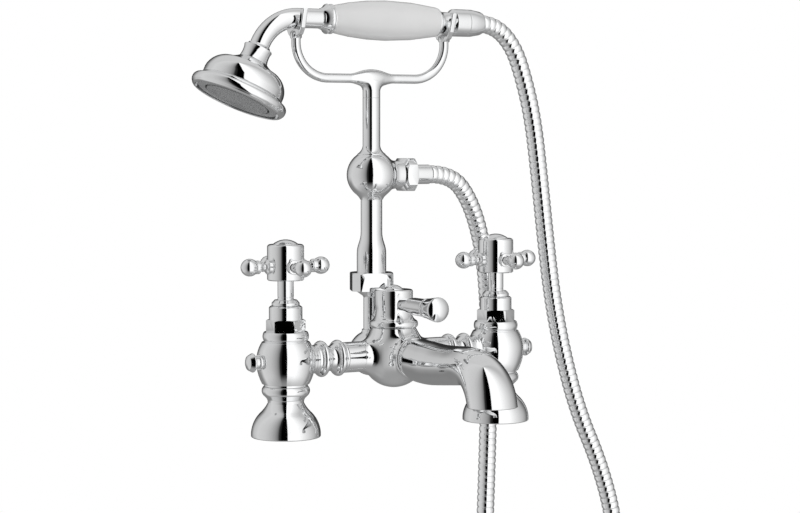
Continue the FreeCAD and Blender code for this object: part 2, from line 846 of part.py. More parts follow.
body = new_body("diverter_knob")
turned(body, "diverter_knob_turning", [
    (0, knob_base),
    *upright(bead(D["diverter_collar_radius"] - 0.9, D["diverter_collar_radius"], knob_base, collar_end)),
    (D["diverter_waist_radius"] + 1.3, (collar_end * 2 + waist_level) / 3),
    (D["diverter_waist_radius"], waist_level),
    (D["diverter_radius"], lever_level),
    (D["diverter_radius"], knob_top - D["diverter_edge"]),
    (D["diverter_radius"] - D["diverter_edge"] * 0.3, knob_top - D["diverter_edge"] * 0.3),
    (D["diverter_radius"] - D["diverter_edge"], knob_top),
    (0, knob_top),
])
socket_floor = D["diverter_radius"] - D["lever_socket_depth"]
socket_mouth = D["diverter_radius"] + D["lever_socket_depth"]
turned(body, "lever_socket", [
    (-socket_floor, 0),
    (-socket_floor, D["lever_root_radius"]),
    (-socket_mouth, D["lever_root_radius"]),
    (-socket_mouth, 0),
], axis="H_Axis", role="YZ_Plane", at=(0, lever_level, 0), cut=True)
put(body)

body = new_body("diverter_button")
turned(body, "diverter_button_turning", [
    (0, knob_top),
    (D["diverter_button_radius"], knob_top),
    (0, knob_top + D["diverter_button_rise"],
     crown(D["diverter_button_radius"], D["diverter_button_rise"]), -1),
])
put(body)

# The lever's round root sits in a socket of the knob's wall.
lever = new_body("diverter_lever")
knob_start = D["lever_knob_start"]
knob_face = knob_start + D["lever_knob_length"]
cap_start = knob_face + D["lever_knob_edge"]
bead_width = D["lever_bead_width"]
turned(lever, "diverter_lever_turning", [
    (-socket_floor, 0),
    (-socket_floor, D["lever_root_radius"]),
    (-(D["diverter_radius"] + D["lever_root_length"]), D["lever_root_radius"]),
    (-D["lever_cone_end"], D["lever_end_radius"], D["lever_cone_crown"], -1),
    (-(D["lever_cone_end"] + bead_width * 0.3), D["lever_bead_radius"]),
    (-(D["lever_cone_end"] + bead_width * 0.7), D["lever_bead_radius"]),
    (-(D["lever_cone_end"] + bead_width), D["lever_knob_foot"]),
    (-knob_start, D["lever_knob_foot"]),
    (-(knob_start + D["lever_knob_step"]), D["lever_knob_root_radius"]),
    (-knob_face, D["lever_knob_radius"]),
    (-cap_start, D["lever_cap_radius"], D["lever_knob_round"], -1),
    (-(cap_start + D["lever_cap_rise"]), 0, crown(D["lever_cap_radius"], D["lever_cap_rise"]), -1),
], axis="H_Axis", role="YZ_Plane", at=(0, lever_level, 0))
put(lever)

# Spout: a raised ring at its root, then a casting that swells, runs level and turns down.
body = new_body("spout_ring")
ring_edge = D["spout_ring_radius"] - 0.7
turned(body, "spout_ring_turning", [
    (0, spout_ring_start),
    *upright(bead(ring_edge, D["spout_ring_radius"], spout_ring_start, D["spout_seam"])),
    (0, D["spout_seam"]),
])
put(body, 0, 0, axis_level, turn_to("-Y"))

body = new_body("spout")
bend_start = D["spout_bend_start"]
outlet_reach = D["spout_outlet_reach"]
bend = outlet_reach - bend_start
start_level = axis_level + D["spout_bend_rise"]
throat = D["spout_throat_radius"]
outlet_level = D["spout_outlet_level"]


def section(name, reach, level, slope, radius):
    """A round section square to the spout's line, which slopes down by the given angle."""
    ring = body.newObject("Sketcher::SketchObject", name)
    ring.AttachmentSupport = [(plane(body, "XZ_Plane"), "")]
    ring.MapMode = "FlatFace"
    reach, level, slope = size(reach), size(level), size(slope)
    ring.AttachmentOffset = Placement(
        Vector(0, level.value, reach.value), Rotation(Vector(1, 0, 0), slope.value))
    bind(ring, ".AttachmentOffset.Base.y", level)
    bind(ring, ".AttachmentOffset.Base.z", reach)
    circles(ring, [(0, 0, radius)])
    ring.Visibility = False
    return ring


def loft(name, rings, ruled=False):
    """A smooth skin through the rings."""
    feature = body.newObject("PartDesign::AdditiveLoft", name)
    feature.Profile = rings[0]
    feature.Sections = rings[1:]
    feature.Ruled = ruled
    return feature


# The line of the nose is a quarter of an ellipse from the level run down to the outlet.
drop = start_level - outlet_level - D["spout_outlet_edge"]


def nose(angle, radius):
    """A section of the nose, at an angle round its quarter ellipse."""
    turn = math.radians(angle)
    reach = bend_start + bend * Size(math.sin(turn), f"sin({angle} deg)")
    level = start_level - drop * Size(1 - math.cos(turn), f"(1 - cos({angle} deg))")
    slope = math.degrees(math.atan2(drop.value * math.sin(turn), bend.value * math.cos(turn)))
    slope += (angle - slope) * math.sin(turn)
    return section(f"nose_{angle}", reach, level, slope, radius)


swell = D["spout_outlet_radius"] - throat
belly_drop = D["spout_belly_drop"]
loft("spout_casting", [
    section("spout_root", D["spout_seam"], axis_level, 0, D["spout_root_radius"]),
    section("spout_belly", D["spout_belly_reach"], axis_level - belly_drop, 0,
            D["spout_belly_radius"]),
    section("spout_run", (D["spout_belly_reach"] + bend_start) / 2,
            axis_level + (D["spout_bend_rise"] - belly_drop) / 2, 0,
            (D["spout_belly_radius"] + throat) / 2),
    nose(0, throat),
    nose(30, throat + swell * 0.42),
    nose(55, throat + swell * 0.78),
    nose(75, throat + swell * 0.93),
    nose(90, D["spout_outlet_radius"]),
])
lip = sketch_on(body, "spout_lip_ring", "XY_Plane", (0, 0, outlet_level))
circles(lip, [(0, -outlet_reach, D["spout_outlet_radius"])])
pad(body, "spout_lip", lip, D["spout_outlet_edge"])
doc.recompute()
mouth = sketch_on(body, "spout_mouth_ring", "XY_Plane", (0, 0, outlet_level))
circles(mouth, [(0, -outlet_reach, D["spout_mouth_radius"])])
pocket(body, "spout_mouth", mouth, D["spout_mouth_depth"], True)
put(body)

body = new_body("flow_straightener")
mouth_floor = outlet_level + D["spout_mouth_depth"]
turned(body, "flow_straightener_turning", [
    (0, mouth_floor - D["straightener_height"]),
    (D["spout_mouth_radius"] - D["fit_gap"], mouth_floor - D["straightener_height"]),
    (D["spout_mouth_radius"] - D["fit_gap"], mouth_floor),
    (0, mouth_floor),
])
put(body, 0, -outlet_reach, 0)

# Riser: pipe from the bulb, union nut, tapered lower tube, ball joint with the hose outlet,
# column and cradle.
behind = D["bulb_offset"]
nut_level = D["riser_nut_level"]
bore = D["riser_bore_radius"]


def riser_piece(label, points):
    """A turned piece of the riser."""
    piece = new_body(label)
    turned(piece, f"{label}_turning", points)
    put(piece, 0, behind, 0)
    return piece


riser_piece("riser_pipe", [
    (bore, D["boss_top"]),
    (D["riser_pipe_radius"], D["boss_top"]),
    (D["riser_pipe_radius"], D["riser_cone_level"]),
    (D["riser_flange_radius"], nut_level),
    (bore, nut_level),
])
taper_end = D["riser_taper_level"] + D["riser_taper_height"]
taper_step = D["riser_lower_radius"] - D["riser_neck_radius"]
taper_middle = D["riser_taper_level"] + D["riser_taper_height"] / 2
riser_piece("riser_tube", [
    (bore, nut_level),
    (D["riser_lower_radius"], nut_level),
    (D["riser_lower_radius"], D["riser_taper_level"]),
    (D["riser_lower_radius"] - taper_step / 2, taper_middle, D["riser_taper_bend"], -1),
    (D["riser_neck_radius"], taper_end, D["riser_taper_bend"], 1),
    (D["riser_neck_radius"], D["riser_joint_level"]),
    (bore, D["riser_joint_level"]),
])


def union_nut(label, across, face, height, chamfer, hole, place, foot_chamfer=None):
    """A square union nut with broad corner flats and one or two turned chamfers."""
    nut = new_body(label)
    blank = sketch_on(nut, f"{label}_flats", "XY_Plane")
    flats(nut, f"{label}_prism", blank, across, height, hole, 8, face)
    corner = root(across * across + face * face) / 2
    turned(nut, f"{label}_corner_cut", [
        (corner - chamfer, height),
        (corner + 1, height - chamfer),
        (corner + 1, height),
    ], cut=True)
    if foot_chamfer is not None:
        turned(nut, f"{label}_foot_cut", [
            (corner - foot_chamfer, 0),
            (corner + 1, 0),
            (corner + 1, foot_chamfer),
        ], cut=True)
    put(nut, *place)
    return nut


union_nut("riser_union_nut", D["riser_nut_flats"], D["riser_nut_face"], D["riser_nut_height"],
          D["riser_nut_chamfer"], D["riser_lower_radius"] + D["fit_gap"],
          (0, behind, nut_level, Rotation(Vector(0, 0, 1), -26)))

ball_radius, ball_level = D["riser_ball_radius"], D["riser_ball_level"]
lower_neck = D["riser_neck_radius"]
ball_foot = ball_level - root(ball_radius * ball_radius - lower_neck * lower_neck)
column_foot = D["column_foot_radius"]
ball_top = ball_level + root(ball_radius * ball_radius - column_foot * column_foot)
body = riser_piece("riser_ball_joint", [
    (0, D["riser_joint_level"]),
    (lower_neck, D["riser_joint_level"]),
    (lower_neck, ball_foot),
    (column_foot, ball_top, ball_radius, -1),
    (0, ball_top),
])
stub = sketch_on(body, "hose_outlet_stub_ring", "YZ_Plane", (0, 0, D["outlet_stub_start"]))
circles(stub, [(0, ball_level, D["outlet_stub_radius"])])
pad(body, "hose_outlet_stub", stub, D["outlet_stub_reach"] - D["outlet_stub_start"])

riser_piece("riser_column", [
    (bore, ball_top),
    (column_foot, ball_top),
    (D["column_radius"], ball_top + D["column_flare_height"], D["column_flare_bend"], 1),
    (D["column_radius"], D["column_top"]),
    (bore, D["column_top"]),
])

ferrule_bore = D["outlet_ferrule_radius"] + D["fit_gap"]
union_nut("hose_outlet_nut", D["outlet_nut_flats"], D["outlet_nut_face"], D["outlet_nut_width"],
          D["outlet_nut_chamfer"], ferrule_bore,
          (D["outlet_stub_reach"], behind, ball_level, RIGHT), D["outlet_nut_chamfer"])
body = new_body("hose_outlet_ferrule")
turned(body, "hose_outlet_ferrule_turning", [
    (0, D["outlet_stub_reach"]),
    (D["outlet_ferrule_radius"], D["outlet_stub_reach"]),
    (D["outlet_ferrule_radius"], D["outlet_ferrule_end"]),
    (0, D["outlet_ferrule_end"]),
])
put(body, 0, behind, ball_level, RIGHT)

# Cradle: a yoke on the column whose two arms end in forks that carry the handset.
cradle_level = D["cradle_level"]
span, corner = D["cradle_half_span"], D["cradle_corner_radius"]
yoke = new_body("cradle_yoke")
turned(yoke, "cradle_stem", [
    (0, D["column_top"]),
    (D["column_radius"], D["column_top"]),
    (D["column_radius"], D["cradle_stem_level"]),
    (D["column_radius"] + 0.9, (D["cradle_stem_level"] + cradle_level) / 2 - 1.0),
    (D["column_radius"] + 3.0, cradle_level - 2.0),
    (0, cradle_level - 2.0),
])
boss, bar = D["cradle_boss_half"], D["cradle_bar_radius"]
turned(yoke, "cradle_boss", [
    (-boss, 0),
    (-boss, bar - 0.3),
    (boss, bar - 0.3, crown(boss, D["cradle_boss_radius"] - bar + 0.3), 1),
    (boss, 0),
], axis="H_Axis", at=(0, cradle_level, 0))
route = sketch_on(yoke, "cradle_route")
arm_top = D["cradle_arm_top"]


def open_route(drawing, points):
    """An open run of lines and arcs, tied to the sheet like an outline."""
    ends = []
    for i in range(1, len(points)):
        start = Vector(size(points[i - 1][0]).value, size(points[i - 1][1]).value, 0)
        stop = Vector(size(points[i][0]).value, size(points[i][1]).value, 0)
        if len(points[i]) == 2:
            number = drawing.addGeometry(Part.LineSegment(start, stop))
            ends.append((number, 1, 2))
            continue
        radius, side = size(points[i][2]), points[i][3]
        half = (stop - start).Length / 2
        run = stop - start
        normal = Vector(-run.y, run.x, 0).normalize() * side
        centre = (start + stop) * 0.5 - normal * math.sqrt(max(radius.value**2 - half**2, 0))
        first, last = (start, stop) if side < 0 else (stop, start)
        begin = math.atan2(first.y - centre.y, first.x - centre.x)
        sweep = (math.atan2(last.y - centre.y, last.x - centre.x) - begin) % (2 * math.pi)
        circle = Part.Circle(centre, Vector(0, 0, 1), radius.value)
        number = drawing.addGeometry(Part.ArcOfCircle(circle, begin, begin + sweep))
        ends.append((number, 1, 2) if side < 0 else (number, 2, 1))
        index = drawing.addConstraint(Sketcher.Constraint("Radius", number, radius.value))
        bind(drawing, f"Constraints[{index}]", radius)
    for before, after in zip(ends, ends[1:]):
        drawing.addConstraint(Sketcher.Constraint("Coincident", before[0], before[2], after[0], after[1]))
    places = [(ends[0][0], ends[0][1])] + [(end[0], end[2]) for end in ends]
    for (number, corner_end), point in zip(places, points):
        for kind, along, value in (("DistanceX", -2, size(point[0])), ("DistanceY", -1, size(point[1]))):
            if value.text == "0":
                drawing.addConstraint(Sketcher.Constraint("PointOnObject", number, corner_end, along))
                continue
            index = drawing.addConstraint(
                Sketcher.Constraint(kind, -1, 1, number, corner_end, value.value))
            bind(drawing, f"Constraints[{index}]", value)
    return drawing


open_route(route, [
    (-span, arm_top),
    (-span, cradle_level + corner),
    (-(span - corner), cradle_level, corner, -1),
    (span - corner, cradle_level),
    (span, cradle_level + corner, corner, -1),
    (span, arm_top),
])
ring = sketch_on(yoke, "cradle_bar_ring", "XY_Plane", (0, 0, arm_top))
circles(ring, [(-span, 0, bar)])
swept(yoke, "cradle_bar", ring, route)
put(yoke, 0, behind, 0)


def fork(label, x, saddle):
    """A fork that carries the handset where its radius is `saddle`."""
    body = new_body(label)
    inner, lean = D["fork_inner_radius"], D["fork_lean"]
    centre = D["handset_level"] - saddle - D["seat_gap"] + inner
    top = D["handset_level"] + D["fork_prong_rise"]
    side, dip = inner * cosine(lean), inner * sine(lean)
    near = side + (top - centre + dip) * sine(lean) / cosine(lean)
    far = near + D["fork_tip_width"]
    tip = crown(D["fork_tip_width"] / 2, D["fork_tip_round"])
    hip = (D["fork_hip_half"], centre - D["fork_hip_drop"])
    heel = (D["fork_heel_half"], centre - D["fork_heel_drop"])
    foot_half, foot = D["fork_foot_half"], centre - D["fork_depth"]
    drawing = sketch_on(body, f"{label}_outline", "YZ_Plane", (0, 0, -D["fork_width"] / 2))
    outline(drawing, [
        (foot_half, foot),
        heel,
        hip,
        (far, top),
        (near, top, tip, -1),
        (side, centre - dip),
        (0, centre - inner, inner, 1),
        (-side, centre - dip, inner, 1),
        (-near, top),
        (-far, top, tip, -1),
        (-hip[0], hip[1]),
        (-heel[0], heel[1]),
        (-foot_half, foot),
    ])
    pad(body, f"{label}_prongs", drawing, D["fork_width"])
    turned(body, f"{label}_stem", [
        (0, arm_top),
        (bar, arm_top),
        (D["fork_bead_radius"], foot + 0.8),
        (bar, foot + 2.6),
        (0, foot + 2.6),
    ])
    put(body, x, behind, 0)


# The gooseneck already falls a little where it leaves the left fork.
past_bend = D["neck_bend_gap"] + D["fork_width"] / 2
neck_drop = D["neck_bend_radius"] - root(D["neck_bend_radius"] * D["neck_bend_radius"] - past_bend * past_bend)
fork("cradle_fork_left", -span, D["neck_radius"] + neck_drop)
fork("cradle_fork_right", span, D["tail_radius"])

# Handset: gooseneck, ferrule, ceramic grip on an inner tube, tail and the shower head.
handset_level = D["handset_level"]


def handset_piece(label, points):
    """A turned piece on the handset's own axis, along X."""
    piece = new_body(label)
    turned(piece, f"{label}_turning", points, axis="H_Axis")
    put(piece, 0, behind, handset_level)
    return piece


grip_bore = D["grip_bore_radius"]
ferrule_far = -(span - D["ferrule_gap"])
front, back = ferrule_far + D["ferrule_length"], span - D["grip_back_gap"]
middle = D["grip_middle"]
handset_piece("handset_grip", [
    (front, grip_bore),
    (front, D["grip_front_radius"]),
    (middle, D["grip_radius"], crown(middle - front, D["grip_radius"] - D["grip_front_radius"]), 1),
    (back, D["grip_back_radius"], crown(back - middle, D["grip_radius"] - D["grip_back_radius"]), 1),
    (back, grip_bore),
])
handset_piece("handset_inner_tube", [
    (front, 0),
    (front, grip_bore - D["fit_gap"]),
    (back, grip_bore - D["fit_gap"]),
    (back, 0),
])
neck = D["neck_radius"]
flare = ferrule_far + D["ferrule_flare"]
ring_start = front - D["ferrule_ring_width"]
handset_piece("handset_ferrule", [
    (ferrule_far, 0),
    (ferrule_far, neck + D["ferrule_lip"]),
    (ferrule_far + D["ferrule_flare"] * 0.55, (neck + D["ferrule_radius"]) / 2),
    (flare, D["ferrule_radius"]),
    (flare + 0.4, D["ferrule_band_radius"]),
    (ring_start, D["ferrule_band_radius"]),
    (ring_start, D["ferrule_ring_radius"]),
    (front, D["ferrule_ring_radius"]),
    (front, 0),
])
neck_body = new_body("handset_neck")
neck_angle, neck_bend = D["neck_bend_angle"], D["neck_bend_radius"]
bend_start_x = -(span - D["neck_bend_gap"])
bend_end_x = bend_start_x - neck_bend * sine(neck_angle)
bend_end_z = -neck_bend * (1 - cosine(neck_angle))
neck_end_x = bend_end_x - D["neck_end_run"] * cosine(neck_angle)
neck_end_z = bend_end_z - D["neck_end_run"] * sine(neck_angle)
path = sketch_on(neck_body, "neck_route")
open_route(path, [
    (ferrule_far, 0),
    (bend_start_x, 0),
    (bend_end_x, bend_end_z, neck_bend, -1),
    (neck_end_x, neck_end_z),
])
ring = sketch_on(neck_body, "neck_ring", "YZ_Plane", (0, 0, ferrule_far))
circles(ring, [(0, 0, neck)])
swept(neck_body, "neck_tube", ring, path)
put(neck_body, 0, behind, handset_level)

tail, sleeve = D["tail_radius"], D["tail_sleeve_radius"]
tail_ring = back + D["tail_ring_width"]
sleeve_start = span + D["tail_sleeve_gap"]
tail_end = sleeve_start + D["tail_sleeve_length"]
cone_nut_end = tail_end + D["cone_nut_length"]
handset_piece("handset_tail", [
    (back, 0),
    (back, D["tail_ring_radius"]),
    (tail_ring, D["tail_ring_radius"]),
    (tail_ring, tail),
    (sleeve_start - D["tail_sleeve_slope"], tail),
    (sleeve_start, sleeve),
    (tail_end, sleeve),
    (tail_end, 0),
])
handset_piece("hose_cone_nut", [
    (tail_end, 0),
    (tail_end, sleeve),
    (cone_nut_end, D["cone_nut_end_radius"]),
    (cone_nut_end, 0),
])

tilt = Rotation(Vector(0, 1, 0), 180 + 90 - SIZES["neck_bend_angle"])


def head_piece(label, points):
    """A turned piece on the shower head's axis, whose start is the end of the neck."""
    piece = new_body(label)
    turned(piece, f"{label}_turning", points)
    put(piece, neck_end_x, behind, handset_level + neck_end_z, tilt)
    bind(piece, ".Placement.Rotation.Angle", Size(tilt.Angle, f"(270 - {neck_angle.text}) * 1 deg"))
    return piece


collar = D["head_collar_radius"]
collar_end = D["head_collar_end"]
bell_end = D["head_wall_reach"]
rim_top = bell_end + D["rim_height"]
shoulder = D["head_shoulder_radius"]
head_piece("head_collar", [
    (neck + D["fit_gap"], -D["head_collar_back"]),
    (D["head_collar_lip"], -D["head_collar_back"]),
    (D["head_collar_crest"] - 0.1, D["head_collar_crest_reach"] - 0.8),
    (D["head_collar_crest"], D["head_collar_crest_reach"]),
    (D["head_collar_waist"], D["head_collar_waist_reach"]),
    (collar, collar_end),
    (0, collar_end),
    (0, 0),
    (neck + D["fit_gap"], 0),
])
head_piece("head_bell", [
    (0, collar_end),
    (collar, collar_end),
    (D["head_slope_radius"], D["head_slope_reach"], D["head_slope_bend"], 1),
    (shoulder, D["head_shoulder_reach"], D["head_shoulder_crown"], -1),
    (shoulder, bell_end),
    (0, bell_end),
])
head_piece("head_rim", [
    (D["rim_inner_radius"], bell_end),
    (shoulder, bell_end),
    (D["rim_flare_radius"], bell_end + D["rim_flare_reach"], D["rim_flare_bend"], 1),
    (D["rim_radius"], bell_end + D["rim_crest_reach"], D["rim_crest_bend"], -1),
    (D["rim_face_radius"], bell_end + D["rim_face_reach"], D["rim_face_bend"], -1),
    (D["rim_lip_radius"], rim_top, D["rim_lip_bend"], -1),
    (D["rim_inner_radius"] + D["rim_chamfer"], rim_top),
    (D["rim_inner_radius"], rim_top - D["rim_chamfer"]),
])
plate_top = rim_top - D["plate_recess"]
plate_radius = D["rim_inner_radius"] - D["fit_gap"]
plate_groove = D["plate_edge_groove"]
ring_out = D["plate_ring_radius"] + D["plate_ring_half_width"]
ring_in = D["plate_ring_radius"] - D["plate_ring_half_width"]
ring_floor = plate_top - D["plate_ring_depth"]
head_piece("spray_plate", [
    (0, bell_end),
    (plate_radius, bell_end),
    (plate_radius, plate_top - plate_groove),
    (plate_radius - plate_groove, plate_top),
    (ring_out, plate_top),
    (ring_out, ring_floor),
    (ring_in, ring_floor),
    (ring_in, plate_top),
    (0, plate_top),
])

# Hose: a ribbed tube that leaves the outlet, hangs behind the cold pillar, loops below the deck
# and comes back up to the handset. The points are the corners of its line.
HOSE_CORNERS = [
    (90.0, 37.5, 168.0),
    (104.5, 43.0, 133.0),
    (110.6, 45.0, 95.0),
    (111.6, 45.0, 48.0),
    (111.4, 45.0, 2.0),
    (110.0, 45.0, -45.0),
    (108.2, 45.0, -92.0),
    (107.4, 44.5, -142.0),
    (107.4, 44.0, -192.0),
    (107.8, 43.5, -240.0),
    (110.5, 43.0, -280.0),
    (132.5, 42.0, -313.0),
    (170.5, 41.0, -325.0),
    (208.5, 40.0, -312.0),
    (230.0, 39.0, -279.0),
    (232.5, 38.0, -238.0),
    (233.0, 37.0, -188.0),
    (232.0, 36.5, -138.0),
    (226.5, 36.0, -92.0),
    (212.0, 35.5, -48.0),
    (190.5, 35.0, -4.0),
    (176.0, 35.0, 42.0),
    (165.5, 35.0, 88.0),
    (158.5, 35.0, 138.0),
    (152.5, 35.0, 188.0),
    (146.5, 35.0, 232.0),
    (138.0, 35.0, 264.0),
    (127.5, 35.0, 291.0),
]


def rounded_line(corners):
    """Straight runs joined by tangent arcs: a list of (length, place) with place(s) on the line."""
    runs = [(b - a).Length for a, b in zip(corners, corners[1:])]
    pieces, radii = [], []
    here = corners[0]
    for i in range(1, len(corners) - 1):
        before = (corners[i] - corners[i - 1]).normalize()
        after = (corners[i + 1] - corners[i]).normalize()
        turn = before.getAngle(after)
        cut = 0.45 * min(runs[i - 1], runs[i])
        radius = cut / math.tan(turn / 2)
        radii.append(radius)
        start = corners[i] - before * cut
        pieces.append(("line", here, before, (start - here).Length))
        side = (after - before * math.cos(turn)).normalize()
        pieces.append(("arc", start, before, radius * turn, side, radius))
        here = corners[i] + after * cut
    last = (corners[-1] - corners[-2]).normalize()
    pieces.append(("line", here, last, (corners[-1] - here).Length))
    return pieces, radii


def place_on(pieces, reach):
    """The point and the direction of a rounded line at a length along it."""
    for piece in pieces:
        if reach <= piece[3] + 1e-9 or piece is pieces[-1]:
            break
        reach -= piece[3]
    start, along = piece[1], piece[2]
    if piece[0] == "line":
        return start + along * reach, along
    side, radius = piece[4], piece[5]
    turn = reach / radius
    point = start + along * (radius * math.sin(turn)) + side * (radius * (1 - math.cos(turn)))
    return point, along * math.cos(turn) + side * math.sin(turn)


def ring_at(pieces, reach, radius):
    """A circle square to the line, whose seam keeps to the same side all the way."""
    point, along = place_on(pieces, reach)
    steady = (Vector(0, 1, 0) - along * along.y).normalize()
    axes = FreeCAD.Matrix()
    other = along.cross(steady)
    axes.A11, axes.A21, axes.A31 = steady.x, steady.y, steady.z
    axes.A12, axes.A22, axes.A32 = other.x, other.y, other.z
    axes.A13, axes.A23, axes.A33 = along.x, along.y, along.z
    edge = Part.makeCircle(radius)
    edge.Placement = Placement(point, Rotation(axes))
    return Part.Wire([edge])


def ribbed_hose(label):
    """The hose as one solid: plain ends, ribs all the way between them, and its bore."""
    outer = sheet.get("hose_radius")
    valley = outer - sheet.get("hose_rib_depth")
    end = sheet.get("hose_end_length")
    count = int(sheet.get("hose_rib_count"))
    level = sheet.get("handset_level")
    outlet = Vector(sheet.get("outlet_ferrule_end"), sheet.get("bulb_offset"), sheet.get("riser_ball_level"))
    inlet = Vector(cone_nut_end.value, sheet.get("bulb_offset"), level)
    corners = [outlet, outlet + Vector(sheet.get("hose_exit_run"), 0, 0)]
    corners += [Vector(*corner) for corner in HOSE_CORNERS]
    corners += [inlet + Vector(sheet.get("hose_entry_run"), 0, 0), inlet]
    pieces, radii = rounded_line(corners)
    length = sum(piece[3] for piece in pieces)
    print("hose", round(length, 1), "mm, radii", [round(radius) for radius in radii])
    pitch = (length - 2 * end) / count
    rings = [(0, outer - 0.3), (end, outer - 0.3)]
    for i in range(count):
        start = end + i * pitch
        rings += [(start + pitch * 0.1, valley), (start + pitch * 0.3, outer),
                  (start + pitch * 0.8, outer), (start + pitch * 1.0, valley)]
    rings += [(length - end + 0.6, outer - 0.3), (length, outer - 0.3)]
    skin = Part.makeLoft([ring_at(pieces, reach, radius) for reach, radius in rings], True, True)
    bore = sheet.get("hose_bore_radius")
    reaches = [0, end] + [end + pitch * i for i in range(1, count)] + [length - end, length]
    core = Part.makeLoft([ring_at(pieces, reach, bore) for reach in reaches], True, True)
    feature = doc.addObject("Part::Feature", label)
    feature.Label = label
    feature.Shape = skin.cut(core)
    PIECES.append(feature)
    return feature


ribbed_hose("shower_hose")

doc.recompute()
for thing in doc.Objects:
    if "Invalid" in thing.State or "Error" in thing.State:
        raise RuntimeError(f"{thing.Label} has failed: {thing.State}")
for piece in PIECES:
    if piece.Shape.isNull() or not piece.Shape.isValid() or len(piece.Shape.Solids) != 1:
        raise RuntimeError(f"{piece.Label} has no sound single solid")
for piece in PIECES:
    piece.Shape.exportStep(f"parts/{piece.Label}.step")
print(len(PIECES), "pieces")
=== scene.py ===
"""Deck mounted bath shower mixer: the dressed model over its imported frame.

Lengths are in millimetres in this file and become metres in the meshes. The frame is that of
the source: +Z up, +X towards the cold pillar, -Y towards the spout, the origin on the deck
midway between the two feet. Each sub-assembly is a class that makes its own pieces.
"""
from __future__ import annotations

import json
import logging
import math
from contextlib import contextmanager
from dataclasses import dataclass, field
from enum import Enum
from functools import cache
from typing import Callable, Iterable, Iterator, Sequence

import bmesh
import bpy
import numpy as np
from bpy.types import ID, Material, Mesh, Node, NodeSocket, NodeTree, Object
from mathutils import Matrix, Vector

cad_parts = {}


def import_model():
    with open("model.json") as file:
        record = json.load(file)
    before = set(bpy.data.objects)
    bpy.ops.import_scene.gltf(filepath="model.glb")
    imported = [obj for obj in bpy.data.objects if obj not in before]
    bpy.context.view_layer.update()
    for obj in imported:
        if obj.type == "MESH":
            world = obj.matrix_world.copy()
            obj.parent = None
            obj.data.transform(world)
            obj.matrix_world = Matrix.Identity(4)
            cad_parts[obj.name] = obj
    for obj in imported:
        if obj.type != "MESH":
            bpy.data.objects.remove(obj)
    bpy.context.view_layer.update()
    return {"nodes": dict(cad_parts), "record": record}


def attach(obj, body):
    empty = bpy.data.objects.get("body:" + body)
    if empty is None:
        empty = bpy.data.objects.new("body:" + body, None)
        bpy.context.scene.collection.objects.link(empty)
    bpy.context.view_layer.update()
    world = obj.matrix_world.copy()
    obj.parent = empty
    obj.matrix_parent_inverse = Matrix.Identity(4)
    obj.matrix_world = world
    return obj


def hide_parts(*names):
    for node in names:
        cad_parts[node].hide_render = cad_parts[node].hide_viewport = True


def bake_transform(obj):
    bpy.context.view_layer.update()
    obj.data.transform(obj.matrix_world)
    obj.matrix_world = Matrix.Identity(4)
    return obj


MM = 0.001
PILLAR_REACH = 90.0
AXIS_LEVEL = 55.5
RISER_BACK = 35.0
COLUMN_TOP = 248.6
HANDSET_LEVEL = 307.5
ARC_STEP = 6.0
SHARP_TURN = math.radians(24)
CHAMFER_SLOPE = math.tan(math.radians(30))
NUT_EASE = 0.22
AT_ORIGIN = Matrix.Identity(4)
LOG = logging.getLogger("bath_shower_mixer")
Outline = Sequence[tuple[float, ...]]
Pieces = dict[str, Object]
Field = Callable[[np.ndarray], np.ndarray]


class Body(Enum):
    """The bodies that the pieces ride on."""

    MIXER = "mixer"
    HOT_HANDLE = "hot_handle"
    COLD_HANDLE = "cold_handle"
    DIVERTER = "diverter"
    HANDSET = "handset"


class Slot(Enum):
    """The material slots of the record."""

    CHROME = "chrome"
    HOSE = "hose_chrome"
    GRIP = "grip_ceramic"
    DISC = "disc_ceramic"
    BRASS = "brass"
    PLASTIC = "grey_plastic"


# Node trees and finishes


@dataclass
class NodeMaker:
    """Builds a node tree a node at a time."""

    tree: NodeTree

    def feed(self, node: Node, ins: dict[str | int, object]) -> Node:
        """Set a node's inputs.

        Args:
            node: the node.
            ins: a socket or a value for each input.

        Returns:
            The node.
        """
        for key, value in ins.items():
            if isinstance(value, NodeSocket):
                self.tree.links.new(value, node.inputs[key])
            else:
                node.inputs[key].default_value = value
        return node

    def add(self, kind: str, ins: dict[str | int, object] | None = None,
            **settings: object) -> Node:
        """Add a node.

        Args:
            kind: the node's type.
            ins: a socket or a value for each of its inputs.
            settings: its properties.

        Returns:
            The node.
        """
        node = self.tree.nodes.new(kind)
        for key, value in settings.items():
            setattr(node, key, value)
        return self.feed(node, ins or {})

    def calc(self, operation: str, *values: object) -> NodeSocket:
        """What a maths node makes of sockets and values."""
        return self.add("ShaderNodeMath", dict(enumerate(values)), operation=operation).outputs[0]

    def eased(self, value: NodeSocket, start: float, stop: float) -> NodeSocket:
        """A share that goes smoothly from 0 where a value is `start` to 1 where it is `stop`."""
        return self.add("ShaderNodeMapRange", {"Value": value, "From Min": start, "From Max": stop},
                        interpolation_type="SMOOTHSTEP").outputs["Result"]

    def mixed(self, share: NodeSocket, first: object, second: object) -> NodeSocket:
        """A colour between two colours."""
        return self.add("ShaderNodeMix", {0: share, 6: first, 7: second}, data_type="RGBA").outputs[2]


